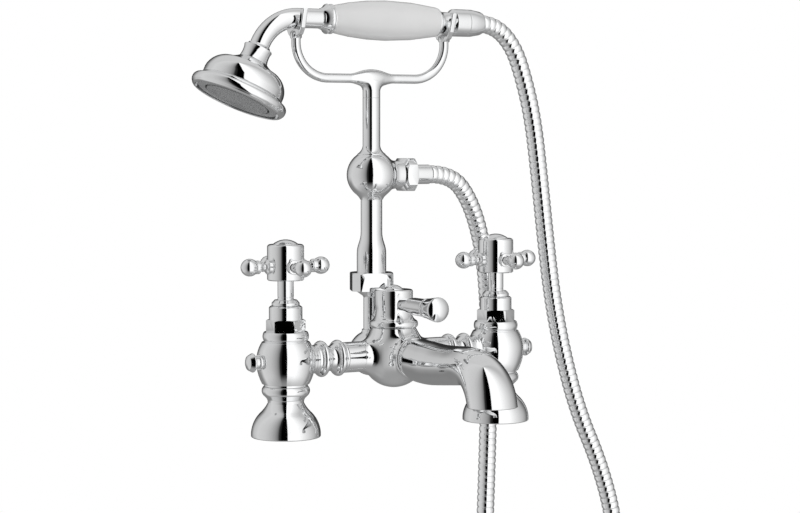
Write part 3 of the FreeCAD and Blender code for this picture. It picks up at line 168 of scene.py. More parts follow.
class GroupMaker(NodeMaker):
    """Builds a node group between its two ends."""

    def __init__(self, name: str, kind: str = "GeometryNodeTree") -> None:
        """Start the group with its two ends."""
        super().__init__(bpy.data.node_groups.new(name, kind))
        self.inner, self.outer = self.add("NodeGroupInput"), self.add("NodeGroupOutput")

    def takes(self, **kinds: str) -> list[NodeSocket]:
        """Give the group its inputs.

        Args:
            kinds: the kind of each, by its name with underscores for the spaces.

        Returns:
            The sockets, in the same order.
        """
        labels = [label.replace("_", " ") for label in kinds]
        for label, kind in zip(labels, kinds.values()):
            self.tree.interface.new_socket(label, in_out="INPUT", socket_type="NodeSocket" + kind)
        return [self.inner.outputs[label] for label in labels]

    def gives(self, label: str, kind: str, source: NodeSocket) -> None:
        """Give the group an output."""
        self.tree.interface.new_socket(label, in_out="OUTPUT", socket_type="NodeSocket" + kind)
        self.feed(self.outer, {label: source})

    def finish(self, made: NodeSocket, material: NodeSocket,
               base: NodeSocket | None = None) -> NodeTree:
        """End a geometry group in real faces, smooth shading and a material.

        Args:
            made: the geometry that the group makes.
            material: what dresses it.
            base: the geometry that it is joined to, if any.

        Returns:
            The group.
        """
        whole = self.add("GeometryNodeRealizeInstances", {"Geometry": made})
        if base is not None:
            whole = self.feed(self.add("GeometryNodeJoinGeometry", {0: whole.outputs[0]}), {0: base})
        smooth = self.add("GeometryNodeSetShadeSmooth", {"Geometry": whole.outputs[0]})
        dressed = self.add("GeometryNodeSetMaterial", {
            "Geometry": smooth.outputs[0], "Material": material})
        self.gives("Geometry", "Geometry", dressed.outputs[0])
        return self.tree


@cache
def handled_surface() -> NodeTree:
    """The shader group for a wiped, handled surface.

    Returns:
        A group that puts out a colour, a roughness and a height, which change a little over the
        surface as water marks and wiping leave them.
    """
    make = GroupMaker("HandledSurface", "ShaderNodeTree")
    clean, marked, smooth, rough, mark_scale, grain_scale, waviness = make.takes(
        Clean_Colour="Color", Marked_Colour="Color", Clean_Roughness="Float",
        Marked_Roughness="Float", Mark_Scale="Float", Grain_Scale="Float", Waviness="Float")
    place = make.add("ShaderNodeTexCoord").outputs["Object"]
    marks, grain, wave = (
        make.add("ShaderNodeTexNoise", {"Vector": place, "Scale": scale, **ins}).outputs["Fac"]
        for scale, ins in ((mark_scale, {"Detail": 5.0, "Roughness": 0.55}), (grain_scale, {}),
                           (waviness, {"Detail": 1.0})))
    marks_from, marks_whole, grain_share = 0.42, 0.72, 0.12
    share = make.eased(marks, marks_from, marks_whole)
    either = make.add("ShaderNodeMix", {0: share, 2: smooth, 3: rough})
    make.gives("Colour", "Color", make.mixed(share, clean, marked))
    make.gives("Roughness", "Float", either.outputs[0])
    make.gives("Height", "Float", make.calc("MULTIPLY_ADD", grain, grain_share, wave))
    return make.tree


@dataclass(frozen=True)
class SurfaceFinish:
    """A finish: its colours and roughness clean and marked, and how its shader is set."""

    name: str
    clean: tuple[float, float, float]
    marked: tuple[float, float, float]
    roughness: tuple[float, float]
    metallic: float = 1.0
    coat: float = 0.0
    coat_roughness: float = 0.04
    bump: float = 0.004
    bump_reach: float = 0.02
    mark_scale: float = 45.0
    waviness: float = 14.0
    grain_scale: float = 900.0

    @cache
    def material(self) -> Material:
        """The material of this finish, made once.

        Returns:
            The material, whose colour, roughness and bump come from the shared group.
        """
        made = bpy.data.materials.new(self.name)
        made.use_nodes = True
        make = NodeMaker(made.node_tree)
        surface = make.add("ShaderNodeGroup", {
            "Clean Colour": (*self.clean, 1.0), "Marked Colour": (*self.marked, 1.0),
            "Clean Roughness": self.roughness[0], "Marked Roughness": self.roughness[1],
            "Mark Scale": self.mark_scale, "Grain Scale": self.grain_scale, "Waviness": self.waviness,
        }, node_tree=handled_surface()).outputs
        bump = make.add("ShaderNodeBump", {
            "Strength": self.bump, "Distance": self.bump_reach, "Height": surface["Height"]})
        make.feed(made.node_tree.nodes["Principled BSDF"], {
            "Metallic": self.metallic, "Coat Weight": self.coat, "Coat Roughness": self.coat_roughness,
            "Base Color": surface["Colour"], "Roughness": surface["Roughness"],
            "Normal": bump.outputs["Normal"]})
        return made


FINISHES = {
    Slot.CHROME: SurfaceFinish("PolishedChrome", (0.87, 0.875, 0.88), (0.84, 0.845, 0.85),
                               (0.035, 0.07)),
    Slot.HOSE: SurfaceFinish("HoseChrome", (0.94, 0.945, 0.95), (0.85, 0.855, 0.86), (0.05, 0.11),
                             mark_scale=160.0),
    Slot.GRIP: SurfaceFinish("WhiteGlaze", (0.95, 0.95, 0.95), (0.93, 0.93, 0.93), (0.12, 0.17),
                             metallic=0.0, coat=0.6, bump=0.01, waviness=30.0),
    Slot.DISC: SurfaceFinish("GroundDisc", (0.88, 0.88, 0.86), (0.8, 0.8, 0.78), (0.3, 0.45),
                             metallic=0.0),
    Slot.BRASS: SurfaceFinish("TurnedBrass", (0.78, 0.62, 0.34), (0.6, 0.45, 0.24), (0.22, 0.4)),
    Slot.PLASTIC: SurfaceFinish("GreyPlastic", (0.47, 0.475, 0.48), (0.39, 0.395, 0.4), (0.38, 0.5),
                                metallic=0.0, bump=0.05, grain_scale=2600.0),
}


def dress(piece: Object, slot: Slot) -> None:
    """Give a piece the finish of its slot, and no other."""
    piece.data.materials.clear()
    piece.data.materials.append(FINISHES[slot].material())


def dress_node(node: Object, slot: Slot) -> None:
    """Give a node that stays its finish.

    Args:
        node: the node.
        slot: the slot that it takes it from.
    """
    material = FINISHES[slot].material()
    if not node.material_slots:
        node.data.materials.append(material)
    for held in node.material_slots:
        held.material = material


# Outlines and meshes


def sampled(corners: Outline, edge: float) -> tuple[list[tuple[float, float]], bool]:
    """Points along an outline, with its sharp corners eased.

    Args:
        corners: (radius, height), or (radius, height, arc radius, side) for a corner that an arc
            leads to, which bulges right of the run for side -1 and left of it for side 1.
        edge: the size of the easing at a sharp corner.

    Returns:
        The points, and whether the outline is closed or runs from pole to pole.
    """
    closed = not (corners[0][0] == 0 and corners[-1][0] == 0)
    run: list[Vector] = []
    for i, corner in enumerate(corners):
        stop = Vector(corner[:2])
        if len(corner) == 4 and i:
            start = Vector(corners[i - 1][:2])
            radius, side = corner[2], corner[3]
            chord = stop - start
            across = Vector((-chord.y, chord.x)).normalized() * side
            drop = math.sqrt(max(radius**2 - chord.length_squared / 4, 0.0))
            centre = (start + stop) / 2 - across * drop
            begin = math.atan2(start.y - centre.y, start.x - centre.x)
            sweep = (math.atan2(stop.y - centre.y, stop.x - centre.x) - begin) % math.tau
            if side > 0:
                sweep -= math.tau
            count = max(2, math.ceil(abs(math.degrees(sweep)) / ARC_STEP))
            for n in range(1, count):
                turn = begin + sweep * n / count
                run.append(centre + Vector((math.cos(turn), math.sin(turn))) * radius)
        run.append(stop)
    last = len(run) - 1
    side_share, room, hold, parts = 0.4, 2.4, 2.2, 4
    points: list[Vector] = []
    for i, here in enumerate(run):
        if not closed and i in (0, last):
            points.append(here)
            continue
        before, after = run[i - 1], run[(i + 1) % len(run)]
        back, ahead = before - here, after - here
        turn = math.pi - back.angle(ahead, math.pi)
        if turn < SHARP_TURN:
            points.append(here)
            continue
        reach = min(edge, back.length * side_share, ahead.length * side_share)
        back.normalize()
        ahead.normalize()
        if reach * room < (before - here).length * 0.5:
            points.append(here + back * reach * hold)
        for n in range(parts + 1):
            t = n / parts
            points.append(here + back * reach * (1 - t) ** 2 + ahead * reach * t**2)
        if reach * room < (after - here).length * 0.5:
            points.append(here + ahead * reach * hold)
    return [(max(p.x, 0.0), p.y) for p in points], closed


def standing(direction: Sequence[float], origin: Sequence[float]) -> Matrix:
    """The place of a turned piece whose axis runs from `origin` along `direction`."""
    turn = Vector((0, 0, 1)).rotation_difference(Vector(direction))
    return Matrix.Translation(Vector(origin)) @ turn.to_matrix().to_4x4()


def upright(x: float, y: float = 0.0, z: float = 0.0) -> Matrix:
    """The place of a turned piece that stands on a point."""
    return Matrix.Translation((x, y, z))


def placed(name: str, data: ID) -> Object:
    """A new object of the scene, at the origin."""
    made = bpy.data.objects.new(name, data)
    bpy.context.scene.collection.objects.link(made)
    return made


@contextmanager
def reshaped(mesh: Mesh) -> Iterator[bmesh.types.BMesh]:
    """Open a mesh for changes, and write them back at the end.

    Args:
        mesh: the mesh.

    Yields:
        Its form, to be changed.
    """
    form = bmesh.new()
    form.from_mesh(mesh)
    yield form
    form.to_mesh(mesh)
    form.free()


def mesh_object(name: str, points: Iterable[Sequence[float]] = (), faces: Iterable[Sequence[int]] = (),
                place: Matrix = AT_ORIGIN, smooth: bool = True) -> Object:
    """An object at the origin with its place in its mesh.

    Args:
        name: the piece's name.
        points: places in millimetres before `place`.
        faces: the faces' point numbers.
        place: the move into the frame, in millimetres.
        smooth: whether its faces are shaded smooth.

    Returns:
        The object, in metres, with its faces pointing outwards.
    """
    mesh = bpy.data.meshes.new(name)
    mesh.from_pydata([tuple(p) for p in points], [], [tuple(f) for f in faces])
    mesh.transform(Matrix.Scale(MM, 4) @ place)
    with reshaped(mesh) as form:
        bmesh.ops.remove_doubles(form, verts=form.verts, dist=1e-7)
        bmesh.ops.recalc_face_normals(form, faces=form.faces)
    mesh.shade_smooth() if smooth else mesh.shade_flat()
    return placed(name, mesh)


def strips(rings: Sequence[Sequence[int]]) -> list[list[int]]:
    """The faces between rings of points.

    Args:
        rings: the point numbers of each ring, where a pole is one number over and over.

    Returns:
        The faces' point numbers.
    """
    faces = []
    for low, high in zip(rings, rings[1:]):
        for n in range(len(low)):
            m = (n + 1) % len(low)
            face = list(dict.fromkeys((low[n], low[m], high[m], high[n])))
            if len(face) > 2:
                faces.append(face)
    return faces


def revolved(name: str, corners: Outline, place: Matrix = AT_ORIGIN, segments: int = 96,
             edge: float = 0.3) -> Object:
    """A turned piece.

    Args:
        name: the piece's name.
        corners: its outline as (radius, height), as `sampled` takes it.
        place: where its axis goes.
        segments: its points round the axis.
        edge: the easing of its sharp corners.

    Returns:
        The piece.
    """
    outline, closed = sampled(corners, edge)
    points: list[tuple[float, float, float]] = []
    rings: list[list[int]] = []
    for radius, height in outline:
        around = segments if radius >= 1e-6 else 1
        rings.append([len(points) + n % around for n in range(segments)])
        for n in range(around):
            turn = math.tau * n / segments
            points.append((radius * math.cos(turn), radius * math.sin(turn), height))
    return mesh_object(name, points, strips(rings + (rings[:1] if closed else [])), place)


def merged(name: str, parts: Sequence[Object]) -> Object:
    """One object from several.

    Args:
        name: its name.
        parts: the objects, which are removed.

    Returns:
        The object.
    """
    mesh = bpy.data.meshes.new(name)
    with reshaped(mesh) as form:
        for part in parts:
            form.from_mesh(part.data)
            bpy.data.objects.remove(part)
    mesh.shade_smooth()
    return placed(name, mesh)


def final_mesh(piece: Object) -> Mesh:
    """The mesh that a piece's modifiers, or its curve, make."""
    bpy.context.view_layer.update()
    graph = bpy.context.evaluated_depsgraph_get()
    return bpy.data.meshes.new_from_object(piece.evaluated_get(graph), depsgraph=graph)


def applied(piece: Object) -> Object:
    """The piece with its modifiers turned into its mesh."""
    mesh = final_mesh(piece)
    mesh.name = piece.name
    piece.modifiers.clear()
    piece.data = mesh
    return piece


def swept(name: str, centres: Sequence[Vector], radii: Sequence[float], steady: Vector,
          segments: int, closed_ends: bool = True, facing: Sequence[Vector] | None = None,
          widths: Sequence[float] | None = None) -> Object:
    """A round tube along centres, whose rings keep to a steady direction.

    Args:
        name: the piece's name.
        centres: the middles of its rings, in millimetres.
        radii: the radius at each.
        steady: a direction that each ring starts from, never along the line.
        segments: points round each ring.
        closed_ends: whether its ends are filled.
        facing: the direction that each ring faces, where that isn't along the line.
        widths: half the width of each ring along `steady`, where the rings are ovals.

    Returns:
        The piece.
    """
    points = []
    for i, centre in enumerate(centres):
        along = (centres[min(i + 1, len(centres) - 1)] - centres[max(i - 1, 0)]).normalized()
        if facing:
            along = facing[i]
        first = (steady - along * steady.dot(along)).normalized()
        second = along.cross(first)
        wide = widths[i] if widths else radii[i]
        for n in range(segments):
            turn = math.tau * n / segments
            points.append(centre + first * math.cos(turn) * wide + second * math.sin(turn) * radii[i])
    rings = [range(i * segments, (i + 1) * segments) for i in range(len(centres))]
    return mesh_object(name, points, strips(rings) + ([rings[0], rings[-1]] if closed_ends else []))


def prism(name: str, ring: Sequence[tuple[float, float]], low: float, high: float,
          place: Matrix = AT_ORIGIN) -> Object:
    """A prism with flat faces.

    Args:
        name: the piece's name.
        ring: its corners.
        low: the level of its foot.
        high: the level of its top.
        place: where its axis goes.

    Returns:
        The piece.
    """
    count = len(ring)
    ends = [range(count), range(count, 2 * count)]
    return mesh_object(name, [(x, y, z) for z in (low, high) for x, y in ring], ends + strips(ends),
                       place, smooth=False)


def nut(name: str, ring: Sequence[tuple[float, float]], height: float, chamfers: tuple[float, float],
        crown: float, bore: float, place: Matrix, spin: float = 0.0) -> Object:
    """A nut: a prism over a ring of corners, whose ends are turned off at 30 degrees.

    Args:
        name: the piece's name.
        ring: the corners of the prism.
        height: its height.
        chamfers: how much the turning takes off the corners' radius at the start and the end.
        crown: the corners' radius.
        bore: the radius of its hole.
        place: where its axis goes.
        spin: degrees that the ring is turned by.

    Returns:
        The nut.
    """
    turn = Matrix.Rotation(math.radians(spin), 4, "Z")
    first, second = chamfers
    crease = math.radians(22)
    made = prism(name, ring, 0.0, height, place @ turn)
    turned_blank = revolved(name + "_blank", [
        (bore, 0), (crown - first, 0), (crown, first * CHAMFER_SLOPE),
        (crown, height - second * CHAMFER_SLOPE), (crown - second, height), (bore, height),
    ], place, 128, 0.02)
    cut = made.modifiers.new("turned", "BOOLEAN")
    cut.operation = "INTERSECT"
    cut.solver = "EXACT"
    cut.object = turned_blank
    ease = made.modifiers.new("eased", "BEVEL")
    ease.width = NUT_EASE * MM
    ease.segments = 2
    ease.limit_method = "ANGLE"
    ease.angle_limit = crease
    applied(made)
    bpy.data.objects.remove(turned_blank)
    made.data.shade_smooth()
    made.data.set_sharp_from_angle(angle=crease)
    return made


def square_ring(across: float, face: float) -> list[tuple[float, float]]:
    """The corners of a square with broad corner flats."""
    a, f = across / 2, face / 2
    return [(a, -f), (a, f), (f, a), (-f, a), (-a, f), (-a, -f), (-f, -a), (f, -a)]


def hexagon_ring(across: float) -> list[tuple[float, float]]:
    """The corners of a hexagon, one of them along Y."""
    r = across / math.sqrt(3)
    turns = [math.radians(30 + 60 * n) for n in range(6)]
    return [(r * math.cos(turn), r * math.sin(turn)) for turn in turns]


# Cast forms: one smooth skin over a field of distances, in millimetres


def blended(one: np.ndarray, other: np.ndarray, fillet: float) -> np.ndarray:
    """The union of two distances, with a fillet where they meet."""
    near = np.maximum(fillet - np.abs(one - other), 0.0) / fillet
    return np.minimum(one, other) - near * near * fillet * 0.25


def ball(at: np.ndarray, centre: Sequence[float], radius: float) -> np.ndarray:
    """The distance to a ball."""
    return np.linalg.norm(at - np.array(centre), axis=-1) - radius


def rod(at: np.ndarray, start: Sequence[float], stop: Sequence[float], radius: float) -> np.ndarray:
    """The distance to a rod with round ends."""
    first, line = np.array(start, float), np.array(stop, float) - np.array(start, float)
    share = np.clip(((at - first) @ line) / (line @ line), 0.0, 1.0)
    return np.linalg.norm(at - first - share[..., None] * line, axis=-1) - radius


def cast(name: str, shape: Field, low: Sequence[float], high: Sequence[float], cell: float,
         cuts: Sequence[tuple[Sequence[float], Sequence[float]]]) -> Object:
    """A smooth skin where a field of distances is zero.

    Args:
        name: the piece's name.
        shape: the distance at each place, negative inside.
        low: the lowest corner of the space that is searched.
        high: the highest corner of it.
        cell: the width of its cells.
        cuts: planes as (point, outward direction) that cut the skin off flat.

    Returns:
        The piece.
    """
    axes = [np.arange(a, b + cell, cell) for a, b in zip(low, high)]
    value = shape(np.stack(np.meshgrid(*axes, indexing="ij"), -1))
    inside = value < 0
    eight = sum(inside[i:inside.shape[0] - 1 + i, j:inside.shape[1] - 1 + j,
                       k:inside.shape[2] - 1 + k].astype(int)
                for i in (0, 1) for j in (0, 1) for k in (0, 1))
    mixed = (eight > 0) & (eight < 8)
    number = np.full(mixed.shape, -1)
    number[mixed] = np.arange(mixed.sum())
    places = np.argwhere(mixed)
    points = np.array([axes[i][places[:, i]] for i in range(3)]).T + cell / 2
    rounds, probe, pull, least_slope = 7, 0.02, 0.9, 0.2
    for _ in range(rounds):
        here = shape(points)
        slope = np.stack([shape(points + step) - shape(points - step)
                          for step in np.eye(3) * probe], -1) / (2 * probe)
        size = np.maximum((slope * slope).sum(-1), least_slope)
        points = points - pull * (here / size)[:, None] * slope
    faces, unit = [], np.eye(3, dtype=int)
    for axis in range(3):
        one, two = [i for i in range(3) if i != axis]
        ahead = np.take(inside, range(1, inside.shape[axis]), axis)
        behind = np.take(inside, range(inside.shape[axis] - 1), axis)
        for edge in np.argwhere(ahead != behind):
            if edge[one] == 0 or edge[two] == 0:
                continue
            if edge[one] >= number.shape[one] or edge[two] >= number.shape[two]:
                continue
            faces.append([int(number[tuple(edge - a * unit[one] - b * unit[two])])
                          for a, b in ((0, 0), (1, 0), (1, 1), (0, 1))])
    made = mesh_object(name, points, faces)
    with reshaped(made.data) as form:
        for point, outward in cuts:
            geometry = list(form.verts) + list(form.edges) + list(form.faces)
            result = bmesh.ops.bisect_plane(form, geom=geometry, plane_co=Vector(point) * MM,
                                            plane_no=Vector(outward), clear_outer=True)
            rim = [e for e in result["geom_cut"] if isinstance(e, bmesh.types.BMEdge)]
            bmesh.ops.contextual_create(form, geom=rim)
        bmesh.ops.recalc_face_normals(form, faces=form.faces)
    made.data.shade_smooth()
    made.data.set_sharp_from_angle(angle=math.radians(50))
    return made


# Geometry node trees


@cache
def round_axis_tree() -> NodeTree:
    """The tree that sets copies of a piece round the Z axis.

    Returns:
        A tree that joins the copies to its geometry.
    """
    make = GroupMaker("SetRoundAxis")
    base, piece, count, start, material = make.takes(
        Geometry="Geometry", Piece="Object", Count="Int", First_Angle="Float", Material="Material")
    points = make.add("GeometryNodePoints", {"Count": count})
    index = make.add("GeometryNodeInputIndex").outputs[0]
    turn = make.calc("MULTIPLY_ADD", index, make.calc("DIVIDE", math.tau, count), start)
    spin = make.add("ShaderNodeCombineXYZ", {"Z": turn})
    source = make.add("GeometryNodeObjectInfo", {"Object": piece})
    copies = make.add("GeometryNodeInstanceOnPoints", {
        "Points": points.outputs[0], "Instance": source.outputs["Geometry"],
        "Rotation": spin.outputs[0]})
    return make.finish(copies.outputs[0], material, base)


@cache
def thread_tree() -> NodeTree:
    """The tree that winds a thread's ridge, a triangle on a spiral, up the Z axis.

    Returns:
        A tree that joins the ridge to its geometry.
    """
    make = GroupMaker("ThreadRidge")
    base, radius, turns, rise, tooth, material = make.takes(
        Geometry="Geometry", Radius="Float", Turns="Float", Height="Float", Tooth="Float",
        Material="Material")
    line = make.add("GeometryNodeCurveSpiral", {
        "Resolution": 48, "Rotations": turns, "Start Radius": radius, "End Radius": radius,
        "Height": rise})
    shape = make.add("GeometryNodeCurvePrimitiveCircle", {"Resolution": 3, "Radius": tooth},
                     mode="RADIUS")
    ridge = make.add("GeometryNodeCurveToMesh", {
        "Curve": line.outputs[0], "Profile Curve": shape.outputs[0], "Fill Caps": True})
    return make.finish(ridge.outputs[0], material, base)


def ribbed_hose_tree() -> NodeTree:
    """The tree that runs a tube of round ribs along a curve.

    Returns:
        A tree whose tube has a sharp valley at each pitch.
    """
    make = GroupMaker("RibbedHose")
    line, ribs, crest, depth, sides, material = make.takes(
        Geometry="Geometry", Rib_Count="Int", Crest_Radius="Float", Rib_Depth="Float", Sides="Int",
        Material="Material")
    per_rib, fullness = 10, 0.6
    path = make.add("GeometryNodeResampleCurve", {
        "Curve": line, "Count": make.calc("MULTIPLY", ribs, float(per_rib))})
    index = make.add("GeometryNodeInputIndex").outputs[0]
    wave = make.calc("ABSOLUTE", make.calc("SINE", make.calc("MULTIPLY", index, math.pi / per_rib)))
    radius = make.calc("MULTIPLY_ADD", make.calc("POWER", wave, fullness), depth,
                       make.calc("SUBTRACT", crest, depth))
    shape = make.add("GeometryNodeCurvePrimitiveCircle", {"Resolution": sides, "Radius": 1.0},
                     mode="RADIUS")
    tube = make.add("GeometryNodeCurveToMesh", {
        "Curve": path.outputs[0], "Profile Curve": shape.outputs[0], "Scale": radius,
        "Fill Caps": True})
    return make.finish(tube.outputs[0], material)


def worked(piece: Object, tree: NodeTree, **sizes: object) -> Object:
    """The piece after a node tree, as a plain mesh.

    Args:
        piece: the object whose geometry goes in.
        tree: the tree.
        sizes: a value for each named input, with underscores for the spaces in its name.

    Returns:
        The piece, without the modifier.
    """
    modifier = piece.modifiers.new(tree.name, "NODES")
    modifier.node_group = tree
    named = {item.name: item.identifier for item in tree.interface.items_tree
             if item.item_type == "SOCKET" and item.in_out == "INPUT"}
    for label, value in sizes.items():
        modifier[named[label.replace("_", " ")]] = value
    return applied(piece)


def ringed(piece: Object, part: Object, count: int, slot: Slot,
           first_angle: float = 0.0) -> Object:
    """The piece with copies of a part round the Z axis.

    Args:
        piece: the piece.
        part: what is copied, which is removed.
        count: how many copies there are.
        slot: the slot of their finish.
        first_angle: the turn of the first, in radians.

    Returns:
        The piece.
    """
    whole = worked(piece, round_axis_tree(), Piece=part, Count=count, First_Angle=first_angle,
                   Material=FINISHES[slot].material())
    bpy.data.objects.remove(part)
    return whole


# The sub-assemblies


@dataclass
class Assembly:
    """A sub-assembly, whose pieces ride on one body."""

    body: Body = field(default=Body.MIXER, kw_only=True)

    def pieces(self) -> Pieces:
        """The pieces in place, each by the node that it stands for."""
        raise NotImplementedError

    def build(self, slots: dict[str, Slot]) -> Pieces:
        """Make the pieces, dress them, put them on their body and report them.

        Args:
            slots: the record's slot for each node.

        Returns:
            The pieces by their nodes.
        """
        made = self.pieces()
        for node, piece in made.items():
            dress(piece, slots[node])
            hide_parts(node)
            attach(piece, self.body.value)
            LOG.info("%s: %d faces on %s", piece.name, len(piece.data.polygons), self.body.value)
        return made


@dataclass
class InletPillar(Assembly):
    """A pillar: belled foot with its threaded socket, collars, egg, headwork, plug and arm."""

    side: str
    place_x: float
    inward: float
    bore: float = 5.95
    egg_top: float = 77.0
    socket_radius: float = 13.16
    socket_depth: float = 15.0
    thread_foot: float = 0.9
    thread_height: float = 13.4
    thread_sink: float = 0.28
    thread_tooth: float = 0.62
    thread_turns: float = 7.5

    def sideways(self, direction: float) -> Matrix:
        """The level axis of the pillar's side pieces, inwards for 1 and outwards for -1."""
        return standing((direction * self.inward, 0, 0), (self.place_x, 0, AXIS_LEVEL))

    def pieces(self) -> Pieces:
        """Make the pillar and what is screwed into it.

        Returns:
            The casting, the headwork, the low nut round the spindle, the domed plug on the outer
            side, and the arm with its two bands and the waist between them.
        """
        side, up, bore = self.side, upright(self.place_x), self.bore
        return {
            f"{side}_pillar": self.casting(),
            f"{side}_gland": self.headwork(),
            f"{side}_spindle_nut": revolved(f"{side}_packing_nut", [
                (bore, 95.9), (9.6, 95.9), (10.2, 96.5), (10.2, 98.1), (8.6, 99.9), (8.3, 100.3),
                (6.9, 100.3), (bore, 99.6)], up, 96, 0.2),
            f"{side}_side_plug": revolved(f"{side}_domed_plug", [
                (0, 22.2), (4.6, 22.2), (4.6, 25.4), (6.4, 25.8), (6.95, 26.5), (6.95, 27.0),
                (5.3, 30.2), (0, 31.7, 10.11, -1)], self.sideways(-1), 64, 0.2),
            f"{side}_arm": revolved(f"{side}_banded_arm", [
                (0, 23.5), (10.4, 23.5), (10.6, 25.2), (11.2, 25.9), (13.4, 28.6, 2.9, -1),
                (11.2, 31.3, 2.9, -1), (10.5, 32.0), (9.2, 35.5, 6.4, 1), (10.5, 39.0, 6.4, 1),
                (11.2, 39.7), (13.4, 42.4, 2.9, -1), (11.2, 45.1, 2.9, -1), (10.9, 45.8),
                (11.3, 47.4, 2.6, 1), (11.3, 61.0), (0, 61.0)], self.sideways(1), 96, 0.2),
        }

    def casting(self) -> Object:
        """The pillar itself.

        Returns:
            The casting, with its stub, its plug seat and the thread in its foot.
        """
        socket, deep, top = self.socket_radius, self.socket_depth, self.egg_top
        column = revolved(f"{self.side}_pillar_casting", [
            (0, 18), (6.5, 18), (6.5, deep), (socket, deep), (socket, 1.2), (socket + 0.9, 0),
            (24.9, 0), (25.5, 0.6), (25.5, 3.2), (19.3, 17.2, 23.0, -1), (13.15, 25.2, 26.0, 1),
            (13.3, 26.2), (14.6, 28.9, 4.2, 1), (15.9, 30.2), (15.9, 37.5, 4.7, -1), (16.0, 37.5),
            (16.0, 38.9), (17.3, 38.9), (21.5, 55.5, 34.9, -1), (17.4, 69.7, 26.64, -1), (16.1, 69.7),
            (16.1, 70.2), (15.9, 70.3), (15.9, top, 6.11, -1), (9.5, top), (0, top - 0.1),
        ], upright(self.place_x), 128)
        stub = revolved("stub", [
            (0, 15), (13.0, 16.6), (10.9, 20.4, 4.4, 1), (10.4, 22.4, 6.0, 1), (10.4, 23.5), (0, 23.5)],
            self.sideways(1), 96)
        seat = revolved("seat", [
            (0, 15), (7.4, 18.2), (6.2, 20.4, 2.6, 1), (5.8, 21.2), (5.8, 22.2), (0, 22.2)],
            self.sideways(-1), 64)
        thread = worked(mesh_object("thread"), thread_tree(), Turns=self.thread_turns,
                        Radius=(socket - self.thread_sink) * MM, Height=self.thread_height * MM,
                        Tooth=self.thread_tooth * MM, Material=FINISHES[Slot.CHROME].material())
        thread.data.transform(upright(self.place_x * MM, z=self.thread_foot * MM))
        return merged(column.name, [column, stub, seat, thread])

    def headwork(self) -> Object:
        """The gland: a hexagon on the egg, and a barrel in it."""
        hexagon = nut("hexagon", hexagon_ring(25.0), 8.9, (0.5, 1.3), 14.434, self.bore,
                      upright(self.place_x, z=self.egg_top))
        barrel = revolved("barrel", [
            (self.bore, 76), (12.2, 76), (12.2, 94.8), (11.1, 95.9), (self.bore, 95.9)],
            upright(self.place_x))
        return merged(f"{self.side}_headwork", [hexagon, barrel])


@dataclass
class CrossHandle(Assembly):
    """A crosshead handle: hub, four ball ended arms, button and spindle."""

    side: str
    place_x: float
    arm_count: int = 4
    arm_level: float = 124.6
    hub_foot: float = 114.4
    hub_top: float = 140.8

    def pieces(self) -> Pieces:
        """Make the handle.

        Returns:
            The hub with its arms round it, the domed button in its top and the spindle under it.
        """
        side, foot, top, up = self.side, self.hub_foot, self.hub_top, upright(self.place_x)
        hub = revolved(f"{side}_cross", [
            (0, foot), (12.65, foot), (13.45, foot + 0.8), (13.45, top - 2.1), (11.8, top, 2.1, -1),
            (9.5, top), (9.5, top - 1.6), (0, top - 1.6)], edge=0.1)
        arm = revolved("cross_arm", [
            (0, 10), (5.4, 10), (5.4, 14.8), (5.0, 15.3), (2.75, 16.9, 2.6, 1), (2.75, 17.5),
            (3.45, 18.4, 0.85, -1), (2.75, 19.3, 0.85, -1), (3.3, 20.1), (4.8, 21.4, 2.0, 1),
            (4.9, 22.2), (4.9, 24.1), (4.7, 24.4), (0, 35.4, 6.6, -1)],
            standing((1, 0, 0), (0, 0, self.arm_level)), 48, 0.15)
        hub = ringed(hub, arm, self.arm_count, Slot.CHROME)
        hub.data.transform(upright(self.place_x * MM))
        return {
            f"{side}_crosshead": hub,
            f"{side}_button": revolved(f"{side}_dome", [
                (0, top - 1.6), (9.4, top - 1.6), (9.4, top + 0.1), (0, top + 3.5, 14.69, -1)],
                up, 96, 0.15),
            f"{side}_spindle": revolved(f"{side}_stem", [
                (0, 61.1), (5.9, 61.1), (5.9, 101.6), (5.75, 101.9), (5.75, 102.3), (5.9, 102.6),
                (5.9, foot), (0, foot)], up, 64, 0.15),
        }


@dataclass
class CentreBody(Assembly):
    """The cast ball between the arms, its neck, and the bulb behind it."""

    radius: float = 24.4
    half_width: float = 29.0
    boss_from: float = 25.0
    boss_top: float = 71.8
    cell: float = 0.8

    def field(self, at: np.ndarray) -> np.ndarray:
        """The distance to the casting.

        Args:
            at: the places.

        Returns:
            The distance at each, negative inside.
        """
        level, back = AXIS_LEVEL, RISER_BACK
        front = ball(at, (0, 0, level), self.radius)
        for start, stop, radius, fillet in (((0, 0, level), (0, 0, 90), 14.6, 8.0),
                                            ((-45, 0, level), (45, 0, level), 11.3, 6.5),
                                            ((0, 0, level), (0, -45, level), 13.2, 6.0)):
            front = blended(front, rod(at, start, stop, radius), fillet)
        bulb = ball(at, (0, back, 53.7), 17.5)
        boss = rod(at, (0, back, 60), (0, back, 85), 7.4)
        return blended(front, blended(bulb, boss, 1.2), 5.0)

    def pieces(self) -> Pieces:
        """Make the casting.

        Returns:
            The casting, whose boss is flat under the riser.
        """
        side, top = self.half_width, self.boss_top * MM
        cuts = [((side, 0, 0), (1, 0, 0)), ((-side, 0, 0), (-1, 0, 0)), ((0, 0, 76.2), (0, 0, 1)),
                ((0, -28.6, 0), (0, -1, 0))]
        casting = cast("ball_body", self.field, (-31, -31, AXIS_LEVEL - 27), (31, 57, 79),
                       self.cell, cuts)
        with reshaped(casting.data) as form:
            for vert in form.verts:
                if vert.co.y > self.boss_from * MM and vert.co.z > top:
                    vert.co.z = top
        return {"centre_body": casting}


